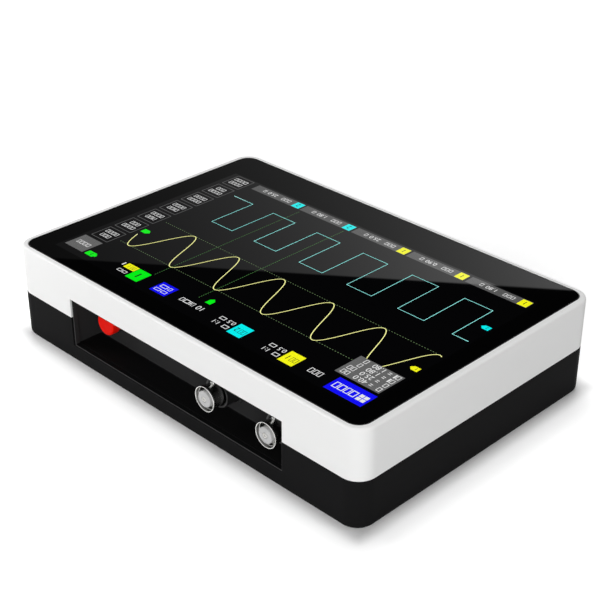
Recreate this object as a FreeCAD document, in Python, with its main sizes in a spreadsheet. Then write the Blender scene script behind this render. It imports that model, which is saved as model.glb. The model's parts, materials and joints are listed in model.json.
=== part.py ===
"""A two-channel tablet oscilloscope, lying on its back with the screen up.

+X runs along the long side, +Y points at the connector side and +Z is up. The origin is the middle of
the plane that the feet rest on. Every length is in millimetres.
"""
import FreeCAD, Part
import math
import os

import Sketcher
from FreeCAD import Placement, Rotation, Vector

# ---------------------------------------------------------------------------------------------------
# Driving sizes: name, value or formula, meaning
# ---------------------------------------------------------------------------------------------------
SIZES = [
    # casing
    ("body_length", 177.0, "casing, along X"),
    ("body_width", 120.0, "casing, along Y"),
    ("body_height", 37.0, "casing, from its underside to the glass"),
    ("seam_height", 17.65, "height of the black lower shell"),
    ("corner_radius", 7.1, "outer upright corners"),
    ("wall", 2.2, "side walls of both shells"),
    ("floor_thickness", 2.0, "underside of the lower shell"),
    ("ledge_thickness", 1.6, "ledge of the upper shell under the glass"),
    ("top_round", 1.0, "outer edge round the rim"),
    ("bottom_round", 1.2, "outer edge round the underside"),
    ("lip_height", 1.2, "tongue of the upper shell in the seam"),
    ("lip_thickness", 1.0, "tongue of the upper shell in the seam"),
    ("seam_gap", 0.15, "room round the tongue"),
    ("fit_gap", 0.02, "room round a driven or pressed round piece"),
    ("free_gap", 0.3, "room between loose pieces"),
    # glass and display
    ("rim_width_x", 2.3, "flat rim beside the glass, short sides"),
    ("rim_width_y", 2.0, "flat rim beside the glass, long sides"),
    ("glass_gap", 0.1, "room round the glass"),
    ("glass_radius", 5.1, "corners of the glass"),
    ("glass_thickness", 1.1, "cover glass"),
    ("glass_bevel", 0.25, "ground edge of the glass"),
    ("tape_thickness", 0.3, "bonding tape under the glass"),
    ("tape_width", 5.0, "bonding tape, reach in from the glass edge"),
    ("lcd_margin_x", 3.8, "room between display module and short walls, on average"),
    ("lcd_margin_y", 7.8, "room between display module and long walls, on average"),
    ("lcd_length", "=body_length - 2 * (wall + lcd_margin_x)", "display module, along X"),
    ("lcd_width", "=body_width - 2 * (wall + lcd_margin_y)", "display module, along Y"),
    ("lcd_thickness", 4.5, "display module"),
    ("lcd_place_x", -1.2, "middle of the display module"),
    ("lcd_place_y", 3.5, "middle of the display module"),
    ("lcd_border", 6.0, "metal face of the display module round its window"),
    ("bezel_sheet", 0.5, "sheet metal of the display module"),
    ("panel_thickness", 1.4, "liquid crystal cell"),
    ("backlight_thickness", 2.5, "light guide behind the cell"),
    # connector bay
    ("bay_width", 110.0, "mouth of the bay, along X"),
    ("bay_height", 19.0, "mouth of the bay, along Z"),
    ("bay_floor_height", 6.5, "mouth of the bay above the underside of the casing"),
    ("bay_depth", 12.5, "from the side of the casing to the bay's back wall"),
    ("bay_wall", 1.8, "walls of the bay liner"),
    ("bay_flange", 1.6, "flange of the bay liner behind the shells"),
    ("bay_inner_round", 0.6, "inner edges of the bay liner"),
    ("collar_height", 0.8, "raised ring round each hole for a jack"),
    ("collar_width", 1.0, "raised ring round each hole for a jack"),
    # coaxial jacks
    ("jack_1_place", 8.0, "axis of the first jack from the low end of the bay"),
    ("jack_2_place", 37.6, "axis of the second jack from the low end of the bay"),
    ("jack_setback", 0.5, "front of the jacks behind the side of the casing"),
    ("barrel_radius", 4.8, "metal barrel of a jack"),
    ("barrel_bore", 4.05, "inner radius of the barrel"),
    ("barrel_length", 12.0, "barrel, over all"),
    ("barrel_web", 1.5, "back wall of the barrel"),
    ("barrel_chamfer", 0.35, "front edges of the barrel"),
    ("lug_reach", 5.5, "bayonet lugs, from the axis"),
    ("lug_radius", 1.0, "bayonet lugs"),
    ("lug_setback", 3.8, "bayonet lugs behind the front"),
    ("neck_radius", 5.5, "plastic neck round the back of the barrel"),
    ("neck_setback", 5.5, "front of the neck behind the front of the barrel"),
    ("insulator_radius", 2.4, "white core of a jack"),
    ("insulator_setback", 0.9, "front of the core behind the front of the barrel"),
    ("contact_radius", 1.05, "centre contact"),
    ("contact_bore", 0.7, "centre contact"),
    ("contact_bore_depth", 5.0, "centre contact"),
    ("contact_setback", 0.5, "front of the contact behind the front of the barrel"),
    ("tail_radius", 0.5, "wire from the contact to the board"),
    ("tail_place", 6.0, "wire behind the front of the housing block"),
    ("housing_width", 14.6, "housing block of a jack, across"),
    ("housing_depth", 12.0, "housing block of a jack, along its axis"),
    ("jack_axis_height", 8.5, "axis of the jacks above the board"),
    ("peg_radius", 1.0, "pegs of a housing block"),
    ("peg_inset", 2.2, "pegs from the sides of the block"),
    ("peg_place", 3.8, "pegs from the back of the block"),
    # power button and the parts beside it
    ("button_place", 9.5, "power button from the high end of the bay"),
    ("button_radius", 4.0, "power button"),
    ("button_setback", 7.4, "front of the button behind the side of the casing"),
    ("button_round", 0.5, "bevelled front edge of the button"),
    ("button_flange", 1.0, "flange that keeps the button in"),
    ("button_travel", 0.8, "press of the button"),
    ("stem_radius", 1.75, "stem of the power switch"),
    ("stem_depth", 1.8, "stem inside the switch"),
    ("stem_reach", 2.5, "stem inside the button"),
    ("running_gap", 0.05, "room round a sliding or turning pin"),
    ("switch_width", 6.0, "power switch"),
    ("switch_depth", 3.5, "power switch"),
    ("usb_place", 33.0, "charging socket from the high end of the bay"),
    ("usb_width", 8.94, "charging socket"),
    ("usb_height", 3.26, "charging socket"),
    ("usb_length", 8.2, "charging socket"),
    ("usb_sheet", 0.35, "charging socket"),
    ("tongue_width", 6.7, "tongue of the charging socket"),
    ("tongue_thickness", 0.7, "tongue of the charging socket"),
    ("tongue_setback", 1.2, "tongue of the charging socket"),
    ("lamp_place", 22.0, "charge lamp from the high end of the bay"),
    ("lamp_radius", 1.5, "charge lamp"),
    # boards
    ("board_length", 150.0, "main board, along X"),
    ("board_width", 57.0, "main board, along Y"),
    ("board_thickness", 1.6, "both boards"),
    ("board_lift", 0.4, "main board above the raised floor over the hinge"),
    ("board_screw_x", 5.0, "board screws from the short edges"),
    ("board_screw_inset", 5.0, "board screws from the long edges"),
    ("board_screw_radius", 1.25, "board screws"),
    ("board_screw_length", 5.0, "board screws"),
    ("board_post_radius", 3.2, "posts under the board"),
    ("port_board_start", 12.0, "upright board beyond the charging socket"),
    ("port_board_end", 12.5, "upright board beyond the power button"),
    ("port_board_height", 17.0, "upright board"),
    ("header_length", 20.0, "pin strip between the boards"),
    ("header_width", 2.5, "pin strip between the boards"),
    ("shield_width", 22.0, "cans over the input stages"),
    ("shield_height", 5.0, "cans over the input stages"),
    ("shield_sheet", 0.4, "cans over the input stages"),
    ("array_width", 17.0, "logic array"),
    ("processor_width", 14.0, "processor"),
    ("memory_width", 10.0, "memory chip"),
    ("converter_width", 7.0, "converters"),
    ("chip_height", 1.2, "flat packages"),
    ("chip_bevel", 0.3, "top edges of the flat packages"),
    ("chip_row", 15.0, "middle of the large chips from the low edge of the board"),
    ("converter_pitch", 12.0, "between the converters"),
    ("crystal_length", 8.0, "crystal"),
    ("crystal_width", 3.5, "crystal"),
    ("crystal_row", 4.0, "crystal from the low edge of the board"),
    ("array_place", 51.0, "logic array from the high end of the board"),
    ("processor_place", 31.0, "processor from the high end of the board"),
    ("memory_place", 15.5, "memory chip from the high end of the board"),
    ("converter_place", 67.0, "converters from the high end of the board"),
    ("coil_width", 6.0, "inductors"),
    ("coil_height", 3.0, "inductors and crystal"),
    ("coil_place", 16.0, "inductors from the high end of the board"),
    ("capacitor_radius", 3.0, "capacitors"),
    ("capacitor_height", 6.5, "capacitors"),
    ("capacitor_place", 7.0, "capacitors from the high end of the board"),
    ("supply_row", 26.0, "first inductor and capacitor from the low edge of the board"),
    ("supply_pitch", 8.0, "between the inductors, and between the capacitors"),
    ("relay_length", 9.0, "input relays"),
    ("relay_width", 6.0, "input relays"),
    ("relay_height", 5.0, "input relays"),
    ("card_socket_width", 14.0, "memory card socket"),
    ("card_socket_height", 1.9, "memory card socket"),
    ("card_width", 11.0, "memory card"),
    ("card_length", 15.0, "memory card"),
    ("card_thickness", 1.0, "memory card"),
    ("card_place", 8.0, "memory card from the low end of the board"),
    ("flex_thickness", 0.3, "flat leads, no thicker than the bonding tape"),
    ("flex_bend", 1.5, "bends of the flat leads"),
    ("flex_height", 0.7, "flat leads above the board where they enter their sockets"),
    ("display_flex_width", 22.0, "flat lead of the display"),
    ("display_flex_start", 25.0, "flat lead of the display, run along the back of the display"),
    ("touch_flex_width", 6.0, "flat lead of the touch glass"),
    ("display_flex_place", 43.0, "flat lead of the display from the low end of the board"),
    ("touch_flex_place", 27.5, "flat lead of the touch glass from the short side"),
    ("touch_flex_inset", 6.5, "flat lead of the touch glass, from the glass edge to its drop"),
    ("flex_socket_depth", 4.5, "sockets of the flat leads"),
    ("flex_socket_height", 1.8, "sockets of the flat leads"),
    # case screws and feet
    ("case_screw_inset", 7.0, "case screws from both sides of the casing"),
    ("case_screw_radius", 1.5, "case screws"),
    ("case_screw_length", 18.0, "case screws"),
    ("case_boss_radius", 5.0, "lower bosses round the case screws"),
    ("upper_boss_radius", 3.6, "upper bosses that take the case screws"),
    ("screw_well_radius", 3.3, "wells for the case screws"),
    ("screw_well_depth", 9.0, "wells for the case screws"),
    ("web_thickness", 1.5, "webs and ribs inside the shells"),
    ("foot_stand", 1.0, "height of the feet below the casing"),
    ("foot_recess", 0.8, "feet inside the underside"),
    ("foot_radius", 5.0, "feet"),
    ("foot_round", 0.4, "bevel round the lower edge of the feet"),
    ("foot_place_x", 20.5, "feet from the short sides"),
    ("foot_place_y", 11.0, "feet from the long sides"),
    # fold-out stand
    ("stand_width", 80.0, "stand, along X"),
    ("stand_length", 48.0, "stand, from hinge axis to tip"),
    ("stand_thickness", 2.4, "stand"),
    ("stand_barrel_radius", 1.6, "rolled root of the stand"),
    ("stand_axis_depth", 2.1, "hinge axis above the underside"),
    ("stand_axis_place", 29.0, "hinge axis from the connector side"),
    ("stand_corner_radius", 4.0, "free corners of the stand"),
    ("stand_notch_width", 18.0, "finger notch at the tip"),
    ("stand_notch_length", 6.0, "finger notch at the tip"),
    ("stand_panel_border", 6.0, "edge of the stand round its sunk panel"),
    ("stand_panel_depth", 0.5, "sunk panel of the stand"),
    ("grip_width", 1.0, "grip ribs near the tip of the stand"),
    ("grip_length", 30.0, "grip ribs near the tip of the stand"),
    ("stand_pin_radius", 0.8, "hinge pins"),
    ("stand_pin_length", 9.0, "hinge pins"),
    ("stand_pin_seat", 1.6, "hinge pins inside the shell"),
    ("dish_floor", 1.5, "raised floor over the stand"),
    ("dish_wall", 2.0, "raised walls round the stand"),
    # battery
    ("battery_gap", 2.2, "room between the battery and the raised wall round the stand"),
    ("battery_length", 100.0, "battery, along X"),
    ("battery_width", "=body_width - wall - stand_axis_place - stand_length - stand_notch_length"
     " - dish_wall - 2 * free_gap - battery_gap", "battery, along Y"),
    ("battery_thickness", 10.0, "battery"),
    ("battery_round", 3.0, "long edges of the battery"),
    ("battery_tape", 0.5, "tape under the battery"),
    ("rib_height", 6.0, "ribs round the battery"),
    ("lead_width", 2.4, "twin lead of the battery"),
    ("lead_thickness", 1.2, "twin lead of the battery"),
    ("lead_bend", 6.0, "bend of the lead, to its middle"),
    ("lead_start", 1.0, "lead straight out of the battery"),
    ("plug_width", 6.0, "battery plug"),
    ("plug_height", 3.4, "battery plug"),
    ("plug_length", 6.0, "battery plug"),
    ("plug_reach", 3.0, "battery plug inside its socket"),
    ("socket_wall", 0.9, "battery socket"),
]

doc = FreeCAD.newDocument("tablet_oscilloscope")
sheet = doc.addObject("Spreadsheet::Sheet", "Sizes")
for row, (alias, value, meaning) in enumerate(SIZES, 1):
    sheet.set(f"A{row}", meaning)
    sheet.set(f"B{row}", str(value))
    sheet.setAlias(f"B{row}", alias)
doc.recompute()


# ---------------------------------------------------------------------------------------------------
# Lengths that know their own expression
# ---------------------------------------------------------------------------------------------------
class Length:
    """A length from the sheet, or worked out from others: its expression and its present value."""

    def __init__(self, text, value):
        self.text = text
        self.value = value

    def joined(self, sign, other, value):
        return Length(f"({self.text} {sign} {other.text})", value)

    def __add__(self, other):
        other = as_length(other)
        return self.joined("+", other, self.value + other.value)

    def __sub__(self, other):
        other = as_length(other)
        return self.joined("-", other, self.value - other.value)

    def __mul__(self, factor):
        factor = as_length(factor)
        return self.joined("*", factor, self.value * factor.value)

    def __truediv__(self, divisor):
        divisor = as_length(divisor)
        return self.joined("/", divisor, self.value / divisor.value)

    def __neg__(self):
        return as_length(0) - self


def as_length(number):
    """A plain number as a Length; a Length stays as it is."""
    if isinstance(number, Length):
        return number
    return Length(repr(float(number)), float(number))


class SheetSizes:
    """The sheet's sizes by name, such as sizes.wall."""

    def __getattr__(self, alias):
        return Length(f"Sizes.{alias}", float(sheet.get(alias)))


sizes = SheetSizes()

# ---------------------------------------------------------------------------------------------------
# Levels and places that several pieces share
# ---------------------------------------------------------------------------------------------------
half_x = sizes.body_length / 2
half_y = sizes.body_width / 2
inner_x = half_x - sizes.wall
inner_y = half_y - sizes.wall
underside = sizes.foot_stand
floor_top = underside + sizes.floor_thickness
seam = underside + sizes.seam_height
top = underside + sizes.body_height
glass_bottom = top - sizes.glass_thickness
ledge_top = glass_bottom - sizes.tape_thickness
ledge_bottom = ledge_top - sizes.ledge_thickness
lcd_bottom = ledge_top - sizes.lcd_thickness
glass_half_x = half_x - sizes.rim_width_x - sizes.glass_gap
glass_half_y = half_y - sizes.rim_width_y - sizes.glass_gap

bay_half = sizes.bay_width / 2
bay_floor = underside + sizes.bay_floor_height
bay_top = bay_floor + sizes.bay_height
bay_back = half_y - sizes.bay_depth
bay_rear = bay_back - sizes.bay_wall

jack_1_x = -bay_half + sizes.jack_1_place
jack_2_x = -bay_half + sizes.jack_2_place
button_x = bay_half - sizes.button_place
usb_x = bay_half - sizes.usb_place
lamp_x = bay_half - sizes.lamp_place
jack_front = half_y - sizes.jack_setback
housing_front = bay_rear - sizes.free_gap
port_board_front = bay_back - sizes.free_gap - sizes.usb_length

screw_x = half_x - sizes.case_screw_inset
screw_y = half_y - sizes.case_screw_inset
screw_seat = underside + sizes.screw_well_depth
foot_x = half_x - sizes.foot_place_x
foot_y = half_y - sizes.foot_place_y

hinge_y = half_y - sizes.stand_axis_place
hinge_z = underside + sizes.stand_axis_depth
stand_tip = hinge_y - sizes.stand_length
stand_half = sizes.stand_width / 2
recess_half = stand_half + sizes.free_gap
recess_tip = stand_tip - sizes.free_gap
recess_root = hinge_y + sizes.stand_barrel_radius + sizes.free_gap
recess_top = underside + sizes.stand_thickness + sizes.free_gap
hinge_recess_top = hinge_z + sizes.stand_barrel_radius + sizes.free_gap
notch_tip = recess_tip - sizes.stand_notch_length

# the main board lies just over the floor that is raised for the hinge, and carries the jacks
board_bottom = hinge_recess_top + sizes.dish_floor + sizes.board_lift
board_top = board_bottom + sizes.board_thickness
port_axis = board_top + sizes.jack_axis_height
board_half = sizes.board_length / 2
board_high_y = housing_front
board_low_y = board_high_y - sizes.board_width
board_screw_x = board_half - sizes.board_screw_x
board_screw_rows = (board_low_y + sizes.board_screw_inset, board_high_y - sizes.board_screw_inset)
display_flex_x = -board_half + sizes.display_flex_place
touch_flex_x = -half_x + sizes.touch_flex_place

battery_bottom = floor_top + sizes.battery_tape
battery_low_y = -inner_y + sizes.free_gap
battery_high_y = battery_low_y + sizes.battery_width

lead_x = sizes.battery_length / 2 + sizes.lead_start + sizes.lead_bend
lead_y = (battery_low_y + battery_high_y) / 2
lead_z = board_top + sizes.socket_wall + sizes.plug_height / 2
touch_drop = -glass_half_y + sizes.touch_flex_inset

# ---------------------------------------------------------------------------------------------------
# Modelling steps
# ---------------------------------------------------------------------------------------------------
PLANES = {"XY": ("XY_Plane", 1), "XZ": ("XZ_Plane", -1), "YZ": ("YZ_Plane", 1)}


def new_body(label):
    body = doc.addObject("PartDesign::Body", label)
    body.Label = label
    return body


def new_sketch(body, name, plane="XY", at=0):
    """An empty sketch on one of the body's own origin planes, moved by `at` along that axis."""
    role, sign = PLANES[plane]
    sketch = body.newObject("Sketcher::SketchObject", f"{body.Name}_{name}_sketch")
    support = next(item for item in body.Origin.OriginFeatures if item.Role == role)
    sketch.AttachmentSupport = [(support, "")]
    sketch.MapMode = "FlatFace"
    sketch.setExpression("AttachmentOffset.Base.z", (as_length(at) * sign).text)
    return sketch


def datum(sketch, kind, *where, length):
    """A dimension that follows the sheet."""
    index = sketch.addConstraint(Sketcher.Constraint(kind, *where, length.value))
    sketch.setExpression(f"Constraints[{index}]", length.text)


def outline(sketch, corners):
    """A closed outline of straight lines, each corner placed from the sketch's origin."""
    corners = [(as_length(u), as_length(v)) for u, v in corners]
    first = sketch.GeometryCount
    count = len(corners)
    for i, (u, v) in enumerate(corners):
        next_u, next_v = corners[(i + 1) % count]
        line = Part.LineSegment(Vector(u.value, v.value, 0), Vector(next_u.value, next_v.value, 0))
        sketch.addGeometry(line, False)
    for i, (u, v) in enumerate(corners):
        following = first + (i + 1) % count
        sketch.addConstraint(Sketcher.Constraint("Coincident", first + i, 2, following, 1))
        datum(sketch, "DistanceX", -1, 1, first + i, 1, length=u)
        datum(sketch, "DistanceY", -1, 1, first + i, 1, length=v)


def rectangle(sketch, across, along):
    (u0, u1), (v0, v1) = across, along
    outline(sketch, [(u0, v0), (u1, v0), (u1, v1), (u0, v1)])


def rounded_rectangle(sketch, across, along, radius):
    """A rectangle whose four corners are arcs that run into the sides."""
    u0, u1, v0, v1 = (as_length(value) for value in (*across, *along))
    r = radius.value
    first = sketch.GeometryCount
    centres = [(u1.value - r, v1.value - r), (u0.value + r, v1.value - r),
               (u0.value + r, v0.value + r), (u1.value - r, v0.value + r)]
    for i, (u, v) in enumerate(centres):
        start, end = math.radians(90 * i), math.radians(90 * (i + 1))
        circle_line = Part.Circle(Vector(u, v, 0), Vector(0, 0, 1), r)
        sketch.addGeometry(Part.ArcOfCircle(circle_line, start, end), False)
        next_u, next_v = centres[(i + 1) % 4]
        offset = Vector(r * math.cos(end), r * math.sin(end), 0)
        side = Part.LineSegment(Vector(u, v, 0) + offset, Vector(next_u, next_v, 0) + offset)
        sketch.addGeometry(side, False)
    for i in range(8):
        following = first + (i + 1) % 8
        sketch.addConstraint(Sketcher.Constraint("Tangent", first + i, 2, following, 1))
    for side in (1, 5):
        sketch.addConstraint(Sketcher.Constraint("Horizontal", first + side))
    for side in (3, 7):
        sketch.addConstraint(Sketcher.Constraint("Vertical", first + side))
    for arc in (2, 4, 6):
        sketch.addConstraint(Sketcher.Constraint("Equal", first, first + arc))
    datum(sketch, "Radius", first, length=radius)
    datum(sketch, "DistanceY", -1, 1, first + 1, 1, length=v1)
    datum(sketch, "DistanceX", -1, 1, first + 3, 1, length=u0)
    datum(sketch, "DistanceY", -1, 1, first + 5, 1, length=v0)
    datum(sketch, "DistanceX", -1, 1, first + 7, 1, length=u1)


def circle(sketch, u, v, radius):
    u, v = as_length(u), as_length(v)
    centre = Vector(u.value, v.value, 0)
    index = sketch.addGeometry(Part.Circle(centre, Vector(0, 0, 1), radius.value), False)
    datum(sketch, "Radius", index, length=radius)
    datum(sketch, "DistanceX", -1, 1, index, 3, length=u)
    datum(sketch, "DistanceY", -1, 1, index, 3, length=v)


def volume_of(body):
    return body.Shape.Volume if body.Tip and not body.Shape.isNull() else 0.0


def finish_step(body, feature, before, grows):
    """Recompute, and stop if the step added or took away nothing."""
    doc.recompute()
    change = body.Shape.Volume - before
    if (change > 0) != grows or abs(change) < 1e-4:
        raise RuntimeError(f"{feature.Name}: volume went from {before} to {body.Shape.Volume}")
    return feature


def pad(body, sketch, height, down=False):
    before = volume_of(body)
    feature = body.newObject("PartDesign::Pad", sketch.Name.replace("_sketch", ""))
    feature.Profile = sketch
    feature.setExpression("Length", as_length(height).text)
    feature.Reversed = down
    return finish_step(body, feature, before, grows=True)


def pocket(body, sketch, depth, forward=True):
    """Cut along the sketch's own normal, or against it where forward is False."""
    before = volume_of(body)
    feature = body.newObject("PartDesign::Pocket", sketch.Name.replace("_sketch", ""))
    feature.Profile = sketch
    feature.setExpression("Length", as_length(depth).text)
    feature.Reversed = forward
    return finish_step(body, feature, before, grows=False)


def add_box(body, name, x, y, z):
    sketch = new_sketch(body, name, at=z[0])
    rectangle(sketch, x, y)
    return pad(body, sketch, as_length(z[1]) - z[0])


def cut_box(body, name, x, y, z):
    sketch = new_sketch(body, name, at=z[0])
    rectangle(sketch, x, y)
    return pocket(body, sketch, as_length(z[1]) - z[0])


def add_rods(body, name, centres, radius, z):
    """Upright round rods with one radius."""
    sketch = new_sketch(body, name, at=z[0])
    for x, y in centres:
        circle(sketch, x, y, radius)
    return pad(body, sketch, as_length(z[1]) - z[0])


def cut_holes(body, name, centres, radius, z):
    """Upright round holes with one radius."""
    sketch = new_sketch(body, name, at=z[0])
    for x, y in centres:
        circle(sketch, x, y, radius)
    return pocket(body, sketch, as_length(z[1]) - z[0])


def revolve(body, name, profile):
    """Turn a closed (radius, height) profile round the body's own Z axis."""
    sketch = new_sketch(body, name, plane="XZ")
    outline(sketch, profile)
    before = volume_of(body)
    feature = body.newObject("PartDesign::Revolution", f"{body.Name}_{name}")
    feature.Profile = sketch
    feature.ReferenceAxis = (sketch, ["V_Axis"])
    feature.Angle = 360
    return finish_step(body, feature, before, grows=True)


def dress_edges(body, kind, name, size, wanted):
    """A fillet or chamfer on the edges whose bounding box passes the test."""
    base = body.Tip
    names = [f"Edge{i}" for i, edge in enumerate(base.Shape.Edges, 1) if wanted(edge.BoundBox)]
    if not names:
        raise RuntimeError(f"{body.Label}: no edge for {name}")
    feature = body.newObject(f"PartDesign::{kind}", f"{body.Name}_{name}")
    feature.Base = (base, names)
    feature.setExpression("Radius" if kind == "Fillet" else "Size", size.text)
    doc.recompute()
    return feature


def level(box, z):
    """Whether an edge lies flat at height z."""
    return box.ZLength < 1e-6 and abs(box.ZMin - as_length(z).value) < 1e-6


def mirrored(body, name, features, roles):
    """The features again on the other side of one or both of the body's upright planes."""
    step = body.newObject("PartDesign::MultiTransform", f"{body.Name}_{name}")
    step.Originals = features
    mirrors = []
    for role in roles:
        plane = next(item for item in body.Origin.OriginFeatures if item.Role == role)
        mirror = body.newObject("PartDesign::Mirrored", f"{body.Name}_{name}_{role}")
        mirror.MirrorPlane = (plane, [""])
        mirrors.append(mirror)
    before = body.Tip.Shape.Volume
    step.Transformations = mirrors
    body.Tip = step
    doc.recompute()
    if abs(step.Shape.Volume - before) < 1e-4:
        raise RuntimeError(f"{step.Name}: the mirror changed nothing")
    return step


def place(item, x=0, y=0, z=0, rotation=Rotation()):
    """Stand an item at a point that follows the sheet."""
    item.Placement = Placement(Vector(0, 0, 0), rotation)
    for axis, length in zip("xyz", (x, y, z)):
        item.setExpression(f"Placement.Base.{axis}", as_length(length).text)
    return item


def block(label, x, y, z):
    """A plain rectangular piece between two corners."""
    item = doc.addObject("Part::Box", label)
    item.Label = label
    for side, (low, high) in zip(("Length", "Width", "Height"), (x, y, z)):
        item.setExpression(side, (as_length(high) - low).text)
    return place(item, x[0], y[0], z[0])


def block_at(label, x, y, z, length, width, height):
    """A plain rectangular piece by the middle of its foot."""
    length, width = as_length(length), as_length(width)
    x, y, z = as_length(x), as_length(y), as_length(z)
    return block(label, (x - length / 2, x + length / 2), (y - width / 2, y + width / 2),
                 (z, z + height))


def rod(label, x, y, z, radius, height, rotation=Rotation()):
    item = doc.addObject("Part::Cylinder", label)
    item.Label = label
    item.setExpression("Radius", as_length(radius).text)
    item.setExpression("Height", as_length(height).text)
    return place(item, x, y, z, rotation)


def group(label, items):
    """Several separate solids in one node."""
    item = doc.addObject("Part::Compound", label)
    item.Label = label
    item.Links = items
    return item


def cut(label, base, tool):
    item = doc.addObject("Part::Cut", label)
    item.Label = label
    item.Base = base
    item.Tool = tool
    return item


FORWARD = Rotation(Vector(1, 0, 0), -90)    # turns a piece's own +Z to the connector side
SIDEWAYS = Rotation(Vector(0, 1, 0), 90)    # turns a piece's own +Z to +X
NODES = []


def node(item):
    """Keep an item as a finished sub-part."""
    NODES.append(item)
    return item


def span(middle, length):
    """Both ends of a length about its middle."""
    middle, length = as_length(middle), as_length(length)
    return middle - length / 2, middle + length / 2


# ---------------------------------------------------------------------------------------------------
# Lower shell: tray with screw wells, board posts, battery ribs, bay cut-out and stand recess
# ---------------------------------------------------------------------------------------------------
def lower_shell():
    body = new_body("lower_shell")
    sketch = new_sketch(body, "outside", at=underside)
    rounded_rectangle(sketch, (-half_x, half_x), (-half_y, half_y), sizes.corner_radius)
    pad(body, sketch, sizes.seam_height)
    dress_edges(body, "Fillet", "bottom_edge", sizes.bottom_round, lambda box: level(box, underside))

    sketch = new_sketch(body, "inside", at=floor_top)
    inner_radius = sizes.corner_radius - sizes.wall
    rounded_rectangle(sketch, (-inner_x, inner_x), (-inner_y, inner_y), inner_radius)
    pocket(body, sketch, seam - floor_top)

    # bosses that the case screws clamp, each over a well
    corner = [(screw_x, screw_y)]
    bosses = add_rods(body, "case_bosses", corner, sizes.case_boss_radius, (floor_top, seam))
    mirrored(body, "case_boss_set", [bosses], ("YZ_Plane", "XZ_Plane"))
    wells = cut_holes(body, "wells", corner, sizes.screw_well_radius, (underside, screw_seat))
    holes = cut_holes(body, "screw_holes", corner, sizes.case_screw_radius + sizes.free_gap,
                      (underside, seam))
    feet = cut_holes(body, "foot_seats", [(foot_x, foot_y)],
                     sizes.foot_radius, (underside, underside + sizes.foot_recess))
    mirrored(body, "well_set", [wells, holes, feet], ("YZ_Plane", "XZ_Plane"))

    # step that takes the tongue of the upper shell
    step = seam - sizes.lip_height
    sketch = new_sketch(body, "rebate", at=step)
    rebate_x = inner_x + sizes.lip_thickness
    rebate_y = inner_y + sizes.lip_thickness
    rounded_rectangle(sketch, (-rebate_x, rebate_x), (-rebate_y, rebate_y),
                      inner_radius + sizes.lip_thickness)
    rounded_rectangle(sketch, (-inner_x, inner_x), (-inner_y, inner_y), inner_radius)
    pocket(body, sketch, sizes.lip_height)

    # raised floor over the folded stand, and the recess below it
    recesses = (("stand", recess_half, recess_tip, recess_root, recess_top),
                ("hinge", recess_half, hinge_y * 2 - recess_root, recess_root, hinge_recess_top),
                ("notch", sizes.stand_notch_width / 2, notch_tip, recess_tip, recess_top))
    wall = sizes.dish_wall
    for name, half, low, high, ceiling in recesses:
        add_box(body, f"{name}_dish", (-half - wall, half + wall), (low - wall, high + wall),
                (floor_top, ceiling + sizes.dish_floor))
    for name, half, low, high, ceiling in recesses:
        cut_box(body, f"{name}_recess", (-half, half), (low, high), (underside, ceiling))
    for side in (-1, 1):
        seat = new_sketch(body, f"pin_seat_{side + 1}", plane="YZ", at=recess_half * side)
        circle(seat, hinge_y, hinge_z, sizes.stand_pin_radius + sizes.fit_gap)
        pocket(body, seat, sizes.stand_pin_seat, forward=side > 0)

    # posts under the board
    posts = [(board_screw_x * side, y) for side in (-1, 1) for y in board_screw_rows]
    add_rods(body, "board_posts", posts, sizes.board_post_radius, (floor_top, board_bottom))
    cut_holes(body, "post_holes", posts, sizes.board_screw_radius + sizes.fit_gap,
              (floor_top, board_bottom))

    # ribs that keep the battery in its corner
    end = sizes.battery_length / 2 + sizes.free_gap
    rib_top = floor_top + sizes.rib_height
    front = battery_high_y + sizes.free_gap
    ribs = [add_box(body, "end_rib", (end, end + sizes.web_thickness),
                    (-inner_y, front + sizes.web_thickness), (floor_top, rib_top)),
            add_box(body, "front_rib", (recess_half * 0.5, end), (front, front + sizes.web_thickness),
                    (floor_top, rib_top))]
    mirrored(body, "rib_set", ribs, ("YZ_Plane",))

    # mouth of the connector bay, with supports below the liner
    cut_box(body, "bay_mouth", (-bay_half, bay_half), (inner_y - 1, half_y + 1), (bay_floor, seam))
    support = add_box(body, "bay_support", (recess_half, recess_half + sizes.web_thickness),
                      (bay_back, inner_y - sizes.bay_flange - sizes.free_gap),
                      (floor_top, bay_floor - sizes.bay_wall))
    mirrored(body, "bay_support_set", [support], ("YZ_Plane",))
    return body


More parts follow.
